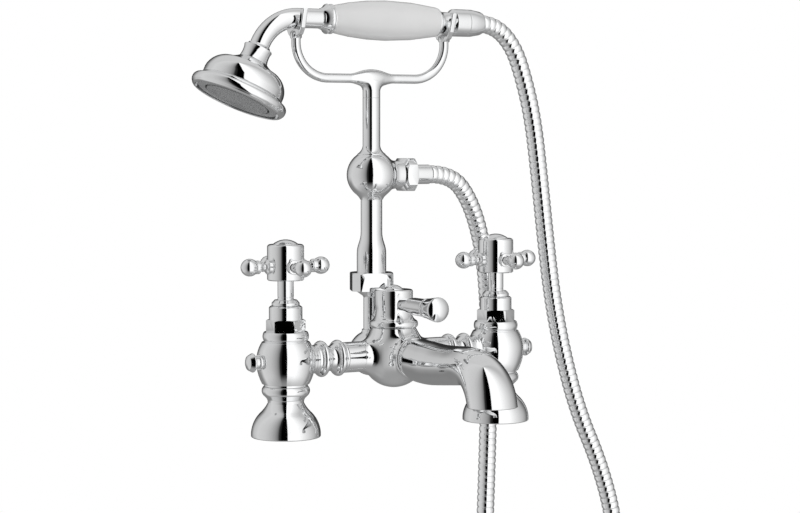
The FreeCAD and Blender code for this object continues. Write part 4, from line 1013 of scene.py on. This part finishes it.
@dataclass
class Diverter(Assembly):
    """The diverter's turned knob, its button and its lever."""

    lever_level: float = 94.0
    top: float = 104.7

    def pieces(self) -> Pieces:
        """Make the diverter.

        Returns:
            The knob, the domed button on it and the tapered lever.
        """
        top = self.top
        return {
            "diverter_knob": revolved("bell_knob", [
                (0, 76.5), (17.3, 76.5), (18.2, 78.9, 2.6, -1), (17.3, 81.3, 2.6, -1), (16.4, 81.9),
                (13.7, 86.4, 7.0, 1), (13.6, 88.0), (14.4, 94.0, 30.0, 1), (14.4, top - 1.5),
                (12.9, top, 1.55, -1), (7.9, top), (7.6, top - 0.4), (7.0, top - 0.4),
                (0, top - 0.4)], edge=0.2),
            "diverter_button": revolved("knob_dome", [
                (0, top - 0.5), (6.95, top - 0.5), (6.95, top + 0.2), (0, top + 3.4, 9.3, -1)],
                segments=64, edge=0.2),
            "diverter_lever": revolved("tapered_lever", [
                (0, 10.4), (4.7, 10.4), (4.7, 14.6), (6.6, 48.5, 190.0, -1), (6.7, 49.2),
                (7.3, 50.5, 1.6, -1), (6.6, 51.9, 1.6, -1), (6.4, 52.5), (6.4, 53.5),
                (7.5, 54.3, 1.1, -1), (9.0, 65.3), (8.2, 67.3, 1.8, -1), (0, 70.0, 13.802, -1)],
                standing((0, -1, 0), (0, 0, self.lever_level)), 96, 0.2),
        }


@dataclass
class SwanSpout(Assembly):
    """The spout: its raised ring, the swelling casting and the flow straightener in its mouth."""

    bend_start: float = 106.0
    outlet_reach: float = 140.9
    outlet_level: float = 32.0
    outlet_radius: float = 17.6
    mouth_radius: float = 14.6
    throat: tuple[float, float] = (13.9, 15.6)
    outlet: tuple[float, float] = (15.8, 18.2)
    bend_rise: float = 1.7
    drop_power: float = 1.2
    end_angle: float = 78.0
    blade_count: int = 14
    blade_width: float = 0.6
    root: float = 32.0
    ring_count: int = 110
    segments: int = 112

    def nose(self, angle: float, share: float) -> tuple[float, float, float, float, float]:
        """A section of the nose.

        Args:
            angle: the degrees round its arc, which ends at `end_angle`.
            share: how far it has gone from the throat's oval to the outlet's.

        Returns:
            The reach, the level, half the height, the degrees that it faces down by, and half the
            width.
        """
        turn, last = math.radians(angle), math.radians(self.end_angle)
        top = AXIS_LEVEL + self.bend_rise
        along = math.sin(turn) / math.sin(last)
        down = ((1 - math.cos(turn)) / (1 - math.cos(last))) ** self.drop_power
        high, wide = (start + (end - start) * share for start, end in zip(self.throat, self.outlet))
        return (self.bend_start + (self.outlet_reach - self.bend_start) * along,
                top - (top - self.outlet_level - 0.5) * down, high, angle * 90 / self.end_angle, wide)

    def pieces(self) -> Pieces:
        """Make the spout.

        Returns:
            The raised ring, the casting and the flow straightener.
        """
        ring = revolved("spout_band", [
            (0, 28.6), (14.2, 28.6), (14.2, self.root, 1.9, -1), (0, self.root)],
            standing((0, -1, 0), (0, 0, AXIS_LEVEL)), 96, 0.1)
        return {"spout_ring": ring, "spout": self.casting(), "flow_straightener": self.straightener()}

    def casting(self) -> Object:
        """The casting.

        Returns:
            A skin over sections along the spout's line, open at its mouth.
        """
        level, inner, outer, mouth = AXIS_LEVEL, self.mouth_radius, self.outlet_radius, self.outlet_level
        knots = [(self.root, level, 14.2, 0.0, 14.2), (42.0, level - 0.7, 15.9, 0.0, 15.9),
                 (56.0, level - 1.1, 15.75, 0.0, 15.9), (74.0, level - 0.6, 14.7, 0.0, 15.6),
                 (90.0, level + 0.5, 14.1, 0.0, 15.5)]
        knots += [self.nose(angle, share) for angle, share in
                  ((0, 0), (14, 0.16), (27, 0.4), (40, 0.66), (52, 0.86), (64, 0.96), (78, 1.0))]
        rows = np.array(knots)
        steps = np.concatenate([[0], np.cumsum(np.linalg.norm(np.diff(rows[:, :2], axis=0), axis=1))])
        fine = np.linspace(0, steps[-1], self.ring_count)
        reach, height, high, slope, wide = (hermite(steps, column, fine) for column in rows.T)
        centres = [Vector((0, -out, up)) for out, up in zip(reach, height)]
        facing = [Vector((0, -math.cos(turn), -math.sin(turn))) for turn in np.radians(slope)]
        skin = swept("swan_spout", centres, high.tolist(), Vector((1, 0, 0)), self.segments, False,
                     facing, wide.tolist())
        base = revolved("mouth", [
            (outer - 0.02, mouth + 0.5), (outer - 0.4, mouth), (inner + 0.4, mouth),
            (inner, mouth + 0.4), (inner, mouth + 5.0), (0, mouth + 5.0), (0, mouth + 5.2),
            (inner + 0.2, mouth + 5.2), (outer - 0.8, mouth + 0.8)], segments=self.segments, edge=0.1)
        base.data.transform(self.to_outlet())
        return merged("swan_spout", [skin, base])

    def to_outlet(self) -> Matrix:
        """What takes a round piece made at the origin to the outlet, and makes it oval."""
        high, wide = (half / self.outlet_radius for half in self.outlet)
        return Matrix.Translation((0, -self.outlet_reach * MM, 0)) @ Matrix.Diagonal((wide, high, 1, 1))

    def straightener(self) -> Object:
        """The insert in the mouth.

        Returns:
            Two rings, a disc behind them, and blades round the middle.
        """
        low, high = self.outlet_level + 1.2, self.outlet_level + 5.0
        insert = merged("flow_insert", [
            revolved(name, corners, segments=segments, edge=edge) for name, corners, segments, edge in (
                ("rim", [(13.4, low), (14.5, low), (14.5, high), (13.4, high)], 72, 0.15),
                ("ring", [(6.6, low + 0.3), (7.4, low + 0.3), (7.4, high), (6.6, high)], 48, 0.1),
                ("hub", [(0, low), (1.8, low + 0.4), (1.8, high), (0, high)], 24, 0.1),
                ("back", [(0, low + 2.8), (14.4, low + 2.8), (14.4, high), (0, high)], 48, 0.3))])
        half = self.blade_width / 2
        blade = prism("blade", [(1, -half), (13.8, -half), (13.8, half), (1, half)], low + 0.3, high)
        insert = ringed(insert, blade, self.blade_count, Slot.PLASTIC)
        insert.data.transform(self.to_outlet())
        insert.data.set_sharp_from_angle(angle=math.radians(35))
        return insert


def hermite(knots: np.ndarray, values: np.ndarray, at: np.ndarray) -> np.ndarray:
    """A smooth run through values at knots, that doesn't swing past them.

    Args:
        knots: where the values are.
        values: the values.
        at: where the run is wanted.

    Returns:
        The run's values there.
    """
    rise = np.diff(values) / np.diff(knots)
    slope = np.concatenate([[rise[0]], (rise[1:] + rise[:-1]) / 2, [rise[-1]]])
    slope[1:-1][rise[:-1] * rise[1:] <= 0] = 0.0
    cell = np.clip(np.searchsorted(knots, at, side="right") - 1, 0, len(rise) - 1)
    width = np.diff(knots)[cell]
    t = (at - knots[cell]) / width
    return ((2 * t**3 - 3 * t**2 + 1) * values[cell] + (t**3 - 2 * t**2 + t) * width * slope[cell]
            + (3 * t**2 - 2 * t**3) * values[cell + 1] + (t**3 - t**2) * width * slope[cell + 1])


@dataclass
class Riser(Assembly):
    """The riser behind the body: pipe, union nut, tube, ball joint, column and hose outlet."""

    ball_level: float = 189.8
    ball_radius: float = 18.9
    nut_foot: float = 101.5
    tube_radius: float = 8.2
    tube_top: float = 171.0
    joint_top: float = 205.17
    stub_reach: float = 27.0
    cell: float = 0.75

    def pieces(self) -> Pieces:
        """Make the riser.

        Returns:
            The pieces from the bottom up, then the nut and the sleeve that hold the hose.
        """
        foot, top, joint, tube = self.nut_foot, self.tube_top, self.joint_top, self.tube_radius
        up, out = upright(0, RISER_BACK), standing((1, 0, 0), (0, RISER_BACK, self.ball_level))
        return {
            "riser_pipe": revolved("riser_feed_pipe", [
                (0, 71.8), (6.25, 71.8), (6.25, 96.4), (7.0, 97.6), (12.6, foot), (0, foot)], up),
            "riser_union_nut": nut(
                "riser_square_nut", square_ring(31.4, 20.3), 13.9, (0.5, 2.0), 18.695, 11.3,
                upright(0, RISER_BACK, foot), -22),
            "riser_tube": revolved("riser_lower_tube", [
                (0, foot), (11.25, foot), (11.25, 129.5), (9.725, 138.0, 24.0, -1),
                (tube, 146.5, 24.0, 1), (tube, top), (0, top)], up),
            "riser_ball_joint": cast(
                "riser_ball", self.field, (-20.5, RISER_BACK - 20.5, 168),
                (30, RISER_BACK + 20.5, self.ball_level + 20.5), self.cell,
                [((0, 0, joint), (0, 0, 1)), ((self.stub_reach, 0, 0), (1, 0, 0)),
                 ((0, 0, top), (0, 0, -1))]),
            "riser_column": revolved("riser_upper_column", [
                (0, joint), (11.0, joint), (10.7, joint + 0.7), (6.7, joint + 7.0, 8.4, 1),
                (6.7, COLUMN_TOP - 0.3), (6.5, COLUMN_TOP), (0, COLUMN_TOP)], up),
            "hose_outlet_nut": nut(
                "outlet_square_nut", square_ring(25.0, 15.5), 11.5, (4.4, 3.4), 14.708, 7.55,
                standing((1, 0, 0), (self.stub_reach - 3.0, RISER_BACK, self.ball_level))),
            "hose_outlet_ferrule": revolved("outlet_sleeve", [
                (0, 28), (7.5, 28), (7.5, 50.0), (7.1, 50.8), (0, 50.8)], out, 72, 0.2),
        }

    def field(self, at: np.ndarray) -> np.ndarray:
        """The distance to the ball joint.

        Args:
            at: the places.

        Returns:
            The distance at each, negative inside.
        """
        middle = (0, RISER_BACK, self.ball_level)
        neck = rod(at, (0, RISER_BACK, 150), middle, self.tube_radius)
        stub = rod(at, middle, (50, RISER_BACK, self.ball_level), 10.8)
        whole = blended(ball(at, middle, self.ball_radius), neck, 4.0)
        return blended(whole, stub, 3.6)


@dataclass
class Cradle(Assembly):
    """The cradle: the bar with its boss on the column, and a fork at each end."""

    level: float = 263.2
    half_span: float = 64.0
    corner: float = 26.5
    arm_top: float = 292.4
    bar: float = 3.5
    cell: float = 0.6
    fork_width: float = 4.4
    fork_inner: float = 9.6
    fork_lean: float = 22.0
    prong_top: float = 313.1
    tip_width: float = 5.2
    fork_ease: float = 1.0

    def pieces(self) -> Pieces:
        """Make the cradle.

        Returns:
            The bar, and the fork at each of its ends.
        """
        span, back, top = self.half_span, RISER_BACK, self.arm_top
        made = {"cradle_yoke": cast(
            "cradle_bar", self.bar_field, (-span - 5, back - 9, 247), (span + 5, back + 9, top + 2),
            self.cell, [((0, 0, top), (0, 0, 1)), ((0, 0, COLUMN_TOP), (0, 0, -1))])}
        for side, x, saddle in (("left", -span, 7.602), ("right", span, 8.0)):
            centre = HANDSET_LEVEL - saddle - 0.3 + self.fork_inner
            made[f"cradle_fork_{side}"] = cast(
                f"cradle_prongs_{side}", lambda at, c=centre, x=x: self.fork_field(at, c, x),
                (x - 6.5, back - 19.5, 291), (x + 6.5, back + 19.5, self.prong_top + 2.5), 0.5,
                [((0, 0, top), (0, 0, -1))])
        return made

    def bar_field(self, at: np.ndarray) -> np.ndarray:
        """The distance to the bar, its boss and its stem.

        Args:
            at: the places.

        Returns:
            The distance at each, negative inside.
        """
        x, y, z = np.abs(at[..., 0]), at[..., 1] - RISER_BACK, at[..., 2] - self.level
        corner, straight, away = self.corner, self.half_span - self.corner, 1e3
        run = np.where(x < straight, np.abs(z), away)
        turn = np.where((x >= straight) & (z < corner),
                        np.abs(np.hypot(x - straight, z - corner) - corner), away)
        rise = np.where(z >= corner, np.abs(x - self.half_span), away)
        bar = np.hypot(np.minimum(np.minimum(run, turn), rise), y) - self.bar
        lens = np.hypot(np.hypot(y, z) + 24.4, x) - 31.4
        stem = np.maximum(np.hypot(x, y) - 6.7, z + 3.0)
        return blended(blended(bar, lens, 2.4), stem, 4.0)

    def fork_field(self, at: np.ndarray, centre: float, place_x: float) -> np.ndarray:
        """The distance to a fork.

        Args:
            at: the places.
            centre: the level that its saddle is round at.
            place_x: where it stands.

        Returns:
            The distance at each, negative inside.
        """
        x, y, z = at[..., 0] - place_x, np.abs(at[..., 1] - RISER_BACK), at[..., 2]
        lean = math.radians(self.fork_lean)
        side, dip = self.fork_inner * math.cos(lean), self.fork_inner * math.sin(lean)
        top, foot = self.prong_top + 0.9, centre - 16.0
        near = side + (self.prong_top - centre + dip) * math.tan(lean)
        corners = [(4.2, foot), (8.4, centre - 14.2), (12.5, centre - 9.3), (near + self.tip_width, top)]
        outside = np.maximum(z - top, foot - z)
        for (y0, z0), (y1, z1) in zip(corners, corners[1:]):
            length = math.hypot(y1 - y0, z1 - z0)
            outside = np.maximum(outside, ((y - y0) * (z1 - z0) - (z - z0) * (y1 - y0)) / length)
        wall = (y - side) * math.cos(lean) - (z - centre + dip) * math.sin(lean)
        rise = (y - side) * math.sin(lean) + (z - centre + dip) * math.cos(lean)
        saddle = np.where(rise > 0, wall, np.hypot(y, z - centre) - self.fork_inner)
        ease = self.fork_ease
        line = np.maximum(outside, -saddle) + ease
        flat = np.abs(x) - self.fork_width / 2 + ease
        plate = (np.minimum(np.maximum(line, flat), 0)
                 + np.hypot(np.maximum(line, 0), np.maximum(flat, 0)) - ease)
        stem = np.maximum(np.hypot(x, y) - self.bar, z - foot - 2.6)
        bead = ball(at, (place_x, RISER_BACK, foot + 0.8), 4.3)
        return blended(blended(plate, stem, 2.6), bead, 1.2)


@dataclass
class Handset(Assembly):
    """The handset: gooseneck, ceramic grip, tail and the bell shaped shower head."""

    grip_start: float = -34.8
    grip_end: float = 55.6
    neck_start: float = -44.0
    neck_step: float = 0.5
    neck_radius: float = 7.4
    bend_start: float = 62.5
    bend_radius: float = 34.0
    bend_angle: float = 65.4
    end_run: float = 3.4
    rim_start: float = 32.3
    rim_end: float = 43.1
    nozzle_rows: tuple[tuple[float, int], ...] = (
        (22.2, 48), (19.4, 42), (16.6, 36), (13.8, 30), (11.0, 24), (8.2, 18), (5.4, 12), (2.6, 6))

    def bend(self, turn: float) -> Vector:
        """The middle of the neck where its bend has turned by `turn`."""
        return Vector((-self.bend_start - self.bend_radius * math.sin(turn), RISER_BACK,
                       HANDSET_LEVEL - self.bend_radius * (1 - math.cos(turn))))

    def head_place(self) -> Matrix:
        """The shower head's axis, from the end of the neck."""
        turn = math.radians(self.bend_angle)
        last = self.bend(turn) - self.end_run * Vector((math.cos(turn), 0, math.sin(turn)))
        return Matrix.Translation(last) @ Matrix.Rotation(math.radians(270 - self.bend_angle), 4, "Y")

    def pieces(self) -> Pieces:
        """Make the handset.

        Returns:
            The ceramic grip, the flared ferrule before it, the neck, the tail behind it, the nut on
            the hose's end, and the four pieces of the shower head.
        """
        head, start, end = self.head_place(), self.rim_start, self.rim_end
        along = standing((1, 0, 0), (0, RISER_BACK, HANDSET_LEVEL))
        front, back, neck = self.grip_start, self.grip_end, self.neck_start
        return {
            "handset_grip": revolved("ceramic_grip", [
                (6.0, front), (10.1, front), (15.3, 11.7, 210.5, -1), (11.3, back, 242.901, -1),
                (6.0, back)], along, 128, 0.6),
            "handset_ferrule": revolved("grip_ferrule", [
                (0, neck), (7.6, neck), (7.9, -43.6), (11.0, -39.0, 9.0, 1), (11.4, -38.4, 0.5, -1),
                (10.7, -37.9), (10.6, -36.9, 2.0, 1), (10.7, -36.0), (11.1, -35.9), (11.3, -35.6),
                (11.3, front), (0, front)], along, 96, 0.15),
            "handset_neck": self.neck(),
            "handset_tail": revolved("grip_tail", [
                (0, back), (10.8, back), (10.8, 57.0), (10.1, 57.6), (8.0, 61.6, 9.0, 1), (8.0, 67.8),
                (8.3, 68.6), (10.2, 70.8), (10.6, 71.4), (10.6, 82.8), (10.4, 83.1), (0, 83.1)],
                along, 96, 0.25),
            "hose_cone_nut": revolved("hose_end_nut", [
                (0, 83.1), (10.4, 83.1), (10.6, 83.5), (10.5, 87.6), (9.2, 95.0), (8.4, 96.9),
                (0, 96.9)], along, 96, 0.3),
            "head_collar": revolved("head_neck_collar", [
                (7.45, -2.0), (8.2, -2.0), (10.5, 0.2, 3.4, 1), (10.75, 0.9, 0.6, -1),
                (10.2, 4.0, 9.0, 1), (11.0, 10.4, 16.0, 1), (7.0, 10.4), (7.0, 0.4), (7.45, 0.2)],
                head, 96, 0.25),
            "head_bell": revolved("head_bell_shell", [
                (0, 10.4), (11.0, 10.4), (23.0, 16.0, 30.0, 1), (31.2, 27.6, 15.4, -1), (31.2, start),
                (0, start)], head, 144, 0.3),
            "head_rim": revolved("head_rolled_rim", [
                (28.5, start), (31.2, start), (35.4, start + 2.8, 9.0, 1), (36.9, start + 6.0, 3.6, -1),
                (35.8, start + 9.2, 4.2, -1), (33.9, end, 2.8, -1), (33.3, end), (33.1, end - 0.2),
                (33.1, end - 5.0), (28.5, end - 5.0)], head, 144, 0.15),
            "spray_plate": self.spray_plate(head),
        }

    def neck(self) -> Object:
        """The gooseneck.

        Returns:
            A tube through a straight part, the bend and the short run into the head.
        """
        straight, turns = 37, 40
        centres = [Vector((self.neck_start - self.neck_step * n, RISER_BACK, HANDSET_LEVEL))
                   for n in range(straight)]
        centres += [self.bend(math.radians(self.bend_angle) * n / turns) for n in range(turns + 1)]
        last = self.head_place().translation
        centres += [centres[-1].lerp(last, share) for share in (0.5, 1.0)]
        return swept("gooseneck", centres, [self.neck_radius] * len(centres), Vector((0, 1, 0)), 80)

    def spray_plate(self, head: Matrix) -> Object:
        """The spray face: a smooth border, a groove, and a disc with small nozzles all over.

        Args:
            head: the shower head's axis.

        Returns:
            The piece.
        """
        top = self.rim_end - 1.0
        plate = revolved("spray_face", [
            (0, self.rim_start), (28.45, self.rim_start), (28.45, top - 3.9), (31.0, top - 3.9),
            (31.0, top - 0.2), (25.5, top - 0.2), (25.5, top - 4.5), (24.0, top - 4.5),
            (24.0, top + 0.2), (0, top + 0.2)], segments=112, edge=0.12)
        for row, (radius, count) in enumerate(self.nozzle_rows):
            nozzle = revolved("nozzle", [(0.3, top), (0.85, top), (0.6, top + 0.6), (0.3, top + 0.6)],
                              upright(radius), 10, 0.08)
            plate = ringed(plate, nozzle, count, Slot.PLASTIC, 0.1 * row)
        plate.data.transform(Matrix.Scale(MM, 4) @ head @ Matrix.Scale(1 / MM, 4))
        plate.data.set_sharp_from_angle(angle=math.radians(40))
        return plate


@dataclass
class ShowerHose:
    """The ribbed hose, on one smooth line from the outlet to the handset."""

    radius: float = 7.0
    rib_depth: float = 0.7
    rib_pitch: float = 5.0
    sides: int = 26
    length: float = 1.258
    path: list[tuple[float, float, float]] = field(default_factory=list)
    route: tuple[tuple[float, float, float], ...] = (
        (0.0508, 0.035, 0.1898), (0.0708, 0.035, 0.1898), (0.090, 0.0375, 0.168),
        (0.1045, 0.043, 0.133), (0.1106, 0.045, 0.095), (0.1116, 0.045, 0.048),
        (0.1114, 0.045, 0.002), (0.110, 0.045, -0.045), (0.1082, 0.045, -0.092),
        (0.1074, 0.0445, -0.142), (0.1074, 0.044, -0.192), (0.1078, 0.0435, -0.240),
        (0.1105, 0.043, -0.280), (0.1325, 0.042, -0.313), (0.1705, 0.041, -0.325),
        (0.2085, 0.040, -0.312), (0.230, 0.039, -0.279), (0.2325, 0.038, -0.238),
        (0.233, 0.037, -0.188), (0.232, 0.0365, -0.138), (0.2265, 0.036, -0.092),
        (0.212, 0.0355, -0.048), (0.1905, 0.035, -0.004), (0.176, 0.035, 0.042),
        (0.1655, 0.035, 0.088), (0.1585, 0.035, 0.138), (0.1525, 0.035, 0.188),
        (0.1465, 0.035, 0.232), (0.138, 0.035, 0.264), (0.1275, 0.035, 0.291),
        (0.109, 0.035, 0.3075), (0.0933, 0.035, 0.3075),
    )

    def line(self) -> Object:
        """The hose's route.

        Returns:
            A curve with no bevel.
        """
        curve = bpy.data.curves.new("hose_line", "CURVE")
        curve.dimensions = "3D"
        spline = curve.splines.new("NURBS")
        spline.points.add(len(self.route) - 1)
        for point, place in zip(spline.points, self.route):
            point.co = (*place, 1.0)
        spline.order_u = 3
        spline.use_endpoint_u = True
        spline.resolution_u = 24
        return placed("hose_line", curve)

    def build(self) -> Object:
        """Make the hose, and blend it between the mixer and the handset.

        Returns:
            The hose.
        """
        line = self.line()
        self.path = [tuple(v.co) for v in final_mesh(line).vertices]
        run = sum((Vector(b) - Vector(a)).length for a, b in zip(self.path, self.path[1:]))
        make = GroupMaker("HoseOnItsLine")
        route = make.takes(Geometry="Geometry", Line="Object")[1]
        info = make.add("GeometryNodeObjectInfo", {"Object": route})
        ribbed = make.add("GeometryNodeGroup", {
            "Geometry": info.outputs["Geometry"], "Rib Count": round(run / (self.rib_pitch * MM)),
            "Crest Radius": self.radius * MM, "Rib Depth": self.rib_depth * MM, "Sides": self.sides,
            "Material": FINISHES[Slot.HOSE].material()}, node_tree=ribbed_hose_tree())
        make.gives("Geometry", "Geometry", ribbed.outputs[0])
        hose = worked(mesh_object("ribbed_hose"), make.tree, Line=line)
        bpy.data.objects.remove(line)
        dress(hose, Slot.HOSE)
        hose.data.shade_smooth()
        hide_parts("shower_hose")
        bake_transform(hose)
        LOG.info("ribbed_hose: line of %.4f m, %d faces", run, len(hose.data.polygons))
        return hose


@dataclass
class Studio:
    """The soft light all round and the camera at the photograph's angle.

    The light has a tone at each bearing from the camera's side, and three others that take over
    with the height of a direction: each has the height it starts at, that where it is whole, and
    its tone. Those above and behind do so only on the far side.
    """

    azimuth: float = 29.155
    pitch: float = 2.283
    lens: float = 91.608
    camera: tuple[float, float, float] = (-0.73822, -1.33306, 0.21998)
    shift: float = -0.05
    tones: tuple[tuple[float, float], ...] = (
        (-180, 0.03), (-158, 0.05), (-143, 0.3), (-130, 0.58), (-103, 0.71), (-69, 0.64),
        (-55, 0.57), (-43, 0.47), (-33, 0.36), (-24, 0.2), (-19.5, 0.03), (-10, 0.0), (8.6, 0.0),
        (9.8, 1.15), (29, 1.2), (44, 1.22), (59, 1.06), (75, 0.87), (94, 0.68), (117, 0.45),
        (135, 0.2), (153, 0.05), (180, 0.03),
    )
    peak: float = 1.1
    far_side: tuple[float, float] = (-0.2, -0.7)
    above: tuple[float, float, float] = (0.3, 0.7, 0.66)
    behind: tuple[float, float, float] = (-0.05, -0.35, 0.24)
    below: tuple[float, float, float] = (-0.5, -1.0, 0.36)

    def build(self) -> None:
        """Make the camera and the light."""
        self.make_camera()
        self.make_light()

    def make_camera(self) -> None:
        """Make the camera, which looks a little down from the height of the riser's ball joint."""
        turn, down = math.radians(self.azimuth), math.radians(self.pitch)
        ahead = Vector((math.sin(turn) * math.cos(down), math.cos(turn) * math.cos(down),
                        -math.sin(down)))
        data = bpy.data.cameras.new("studio_camera")
        data.lens = self.lens
        data.sensor_width = 36.0
        data.shift_y = self.shift
        data.clip_end = 50.0
        made = placed("studio_camera", data)
        made.location = self.camera
        made.rotation_euler = ahead.to_track_quat("-Z", "Y").to_euler()
        bpy.context.scene.camera = made

    def grey(self, tone: float) -> tuple[float, float, float, float]:
        """A tone as a colour whose strength is a share of the peak."""
        return (tone / self.peak,) * 3 + (1.0,)

    def make_light(self) -> None:
        """Make soft light all round, with one brighter side and a narrow dark flag near the camera."""
        scene = bpy.context.scene
        scene.world = world = bpy.data.worlds.new("soft_studio")
        world.use_nodes = True
        world.node_tree.nodes.clear()
        make = NodeMaker(world.node_tree)
        turn = math.radians(self.azimuth)
        sky = make.add("ShaderNodeTexCoord").outputs["Generated"]
        toward, right = (
            make.add("ShaderNodeVectorMath", {0: sky, 1: axis}, operation="DOT_PRODUCT").outputs["Value"]
            for axis in ((-math.sin(turn), -math.cos(turn), 0.0),
                         (math.cos(turn), -math.sin(turn), 0.0)))
        bearing = make.calc("ARCTAN2", right, toward)
        ramp = make.add("ShaderNodeValToRGB", {0: make.calc("MULTIPLY_ADD", bearing, 1 / math.tau, 0.5)})
        stops = ramp.color_ramp.elements
        for i, (angle, tone) in enumerate(self.tones):
            stop = stops[i] if i < 2 else stops.new(0.99)
            stop.position = (angle + 180) / 360
            stop.color = self.grey(tone)
        height = make.add("ShaderNodeSeparateXYZ", {0: sky}).outputs["Z"]
        away = make.eased(make.calc("COSINE", bearing), *self.far_side)
        colour = ramp.outputs["Color"]
        for (start, whole, tone), side in ((self.above, away), (self.behind, away), (self.below, 1.0)):
            share = make.calc("MULTIPLY", side, make.eased(height, start, whole))
            colour = make.mixed(share, colour, self.grey(tone))
        soft = make.add("ShaderNodeBackground", {"Strength": self.peak, "Color": colour})
        plain = make.add("ShaderNodeBackground", {"Color": (1, 1, 1, 1)})
        seen = make.add("ShaderNodeLightPath").outputs["Is Camera Ray"]
        mix = make.add("ShaderNodeMixShader", {0: seen, 1: soft.outputs[0], 2: plain.outputs[0]})
        make.add("ShaderNodeOutputWorld", {"Surface": mix.outputs[0]})
        scene.view_settings.view_transform = "Standard"
        scene.view_settings.look = "None"


def main() -> None:
    """Load the frame, make the light, the hose and every sub-assembly in order, dress the imported
    nodes, and log how many pieces were made.
    """
    logging.basicConfig(level=logging.INFO, format="%(name)s %(message)s")
    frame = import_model()
    slots = {part["node"]: Slot(part["material_slot"]) for part in frame["record"]["subparts"]}
    Studio().build()
    shower_hose = ShowerHose()
    hose = shower_hose.build()
    made: Pieces = {}
    for side, x, inward, body in (("hot", -PILLAR_REACH, 1.0, Body.HOT_HANDLE),
                                  ("cold", PILLAR_REACH, -1.0, Body.COLD_HANDLE)):
        made |= InletPillar(side, x, inward).build(slots)
        made |= CrossHandle(side, x, body=body).build(slots)
    for assembly in (CentreBody(), Diverter(body=Body.DIVERTER), SwanSpout(), Cradle(), Riser(),
                     Handset(body=Body.HANDSET)):
        made |= assembly.build(slots)
    for name, node in frame["nodes"].items():
        dress_node(node, slots[name])
    LOG.info("%d pieces fitted", len(made) + 1)


if __name__ == "__main__":
    main()
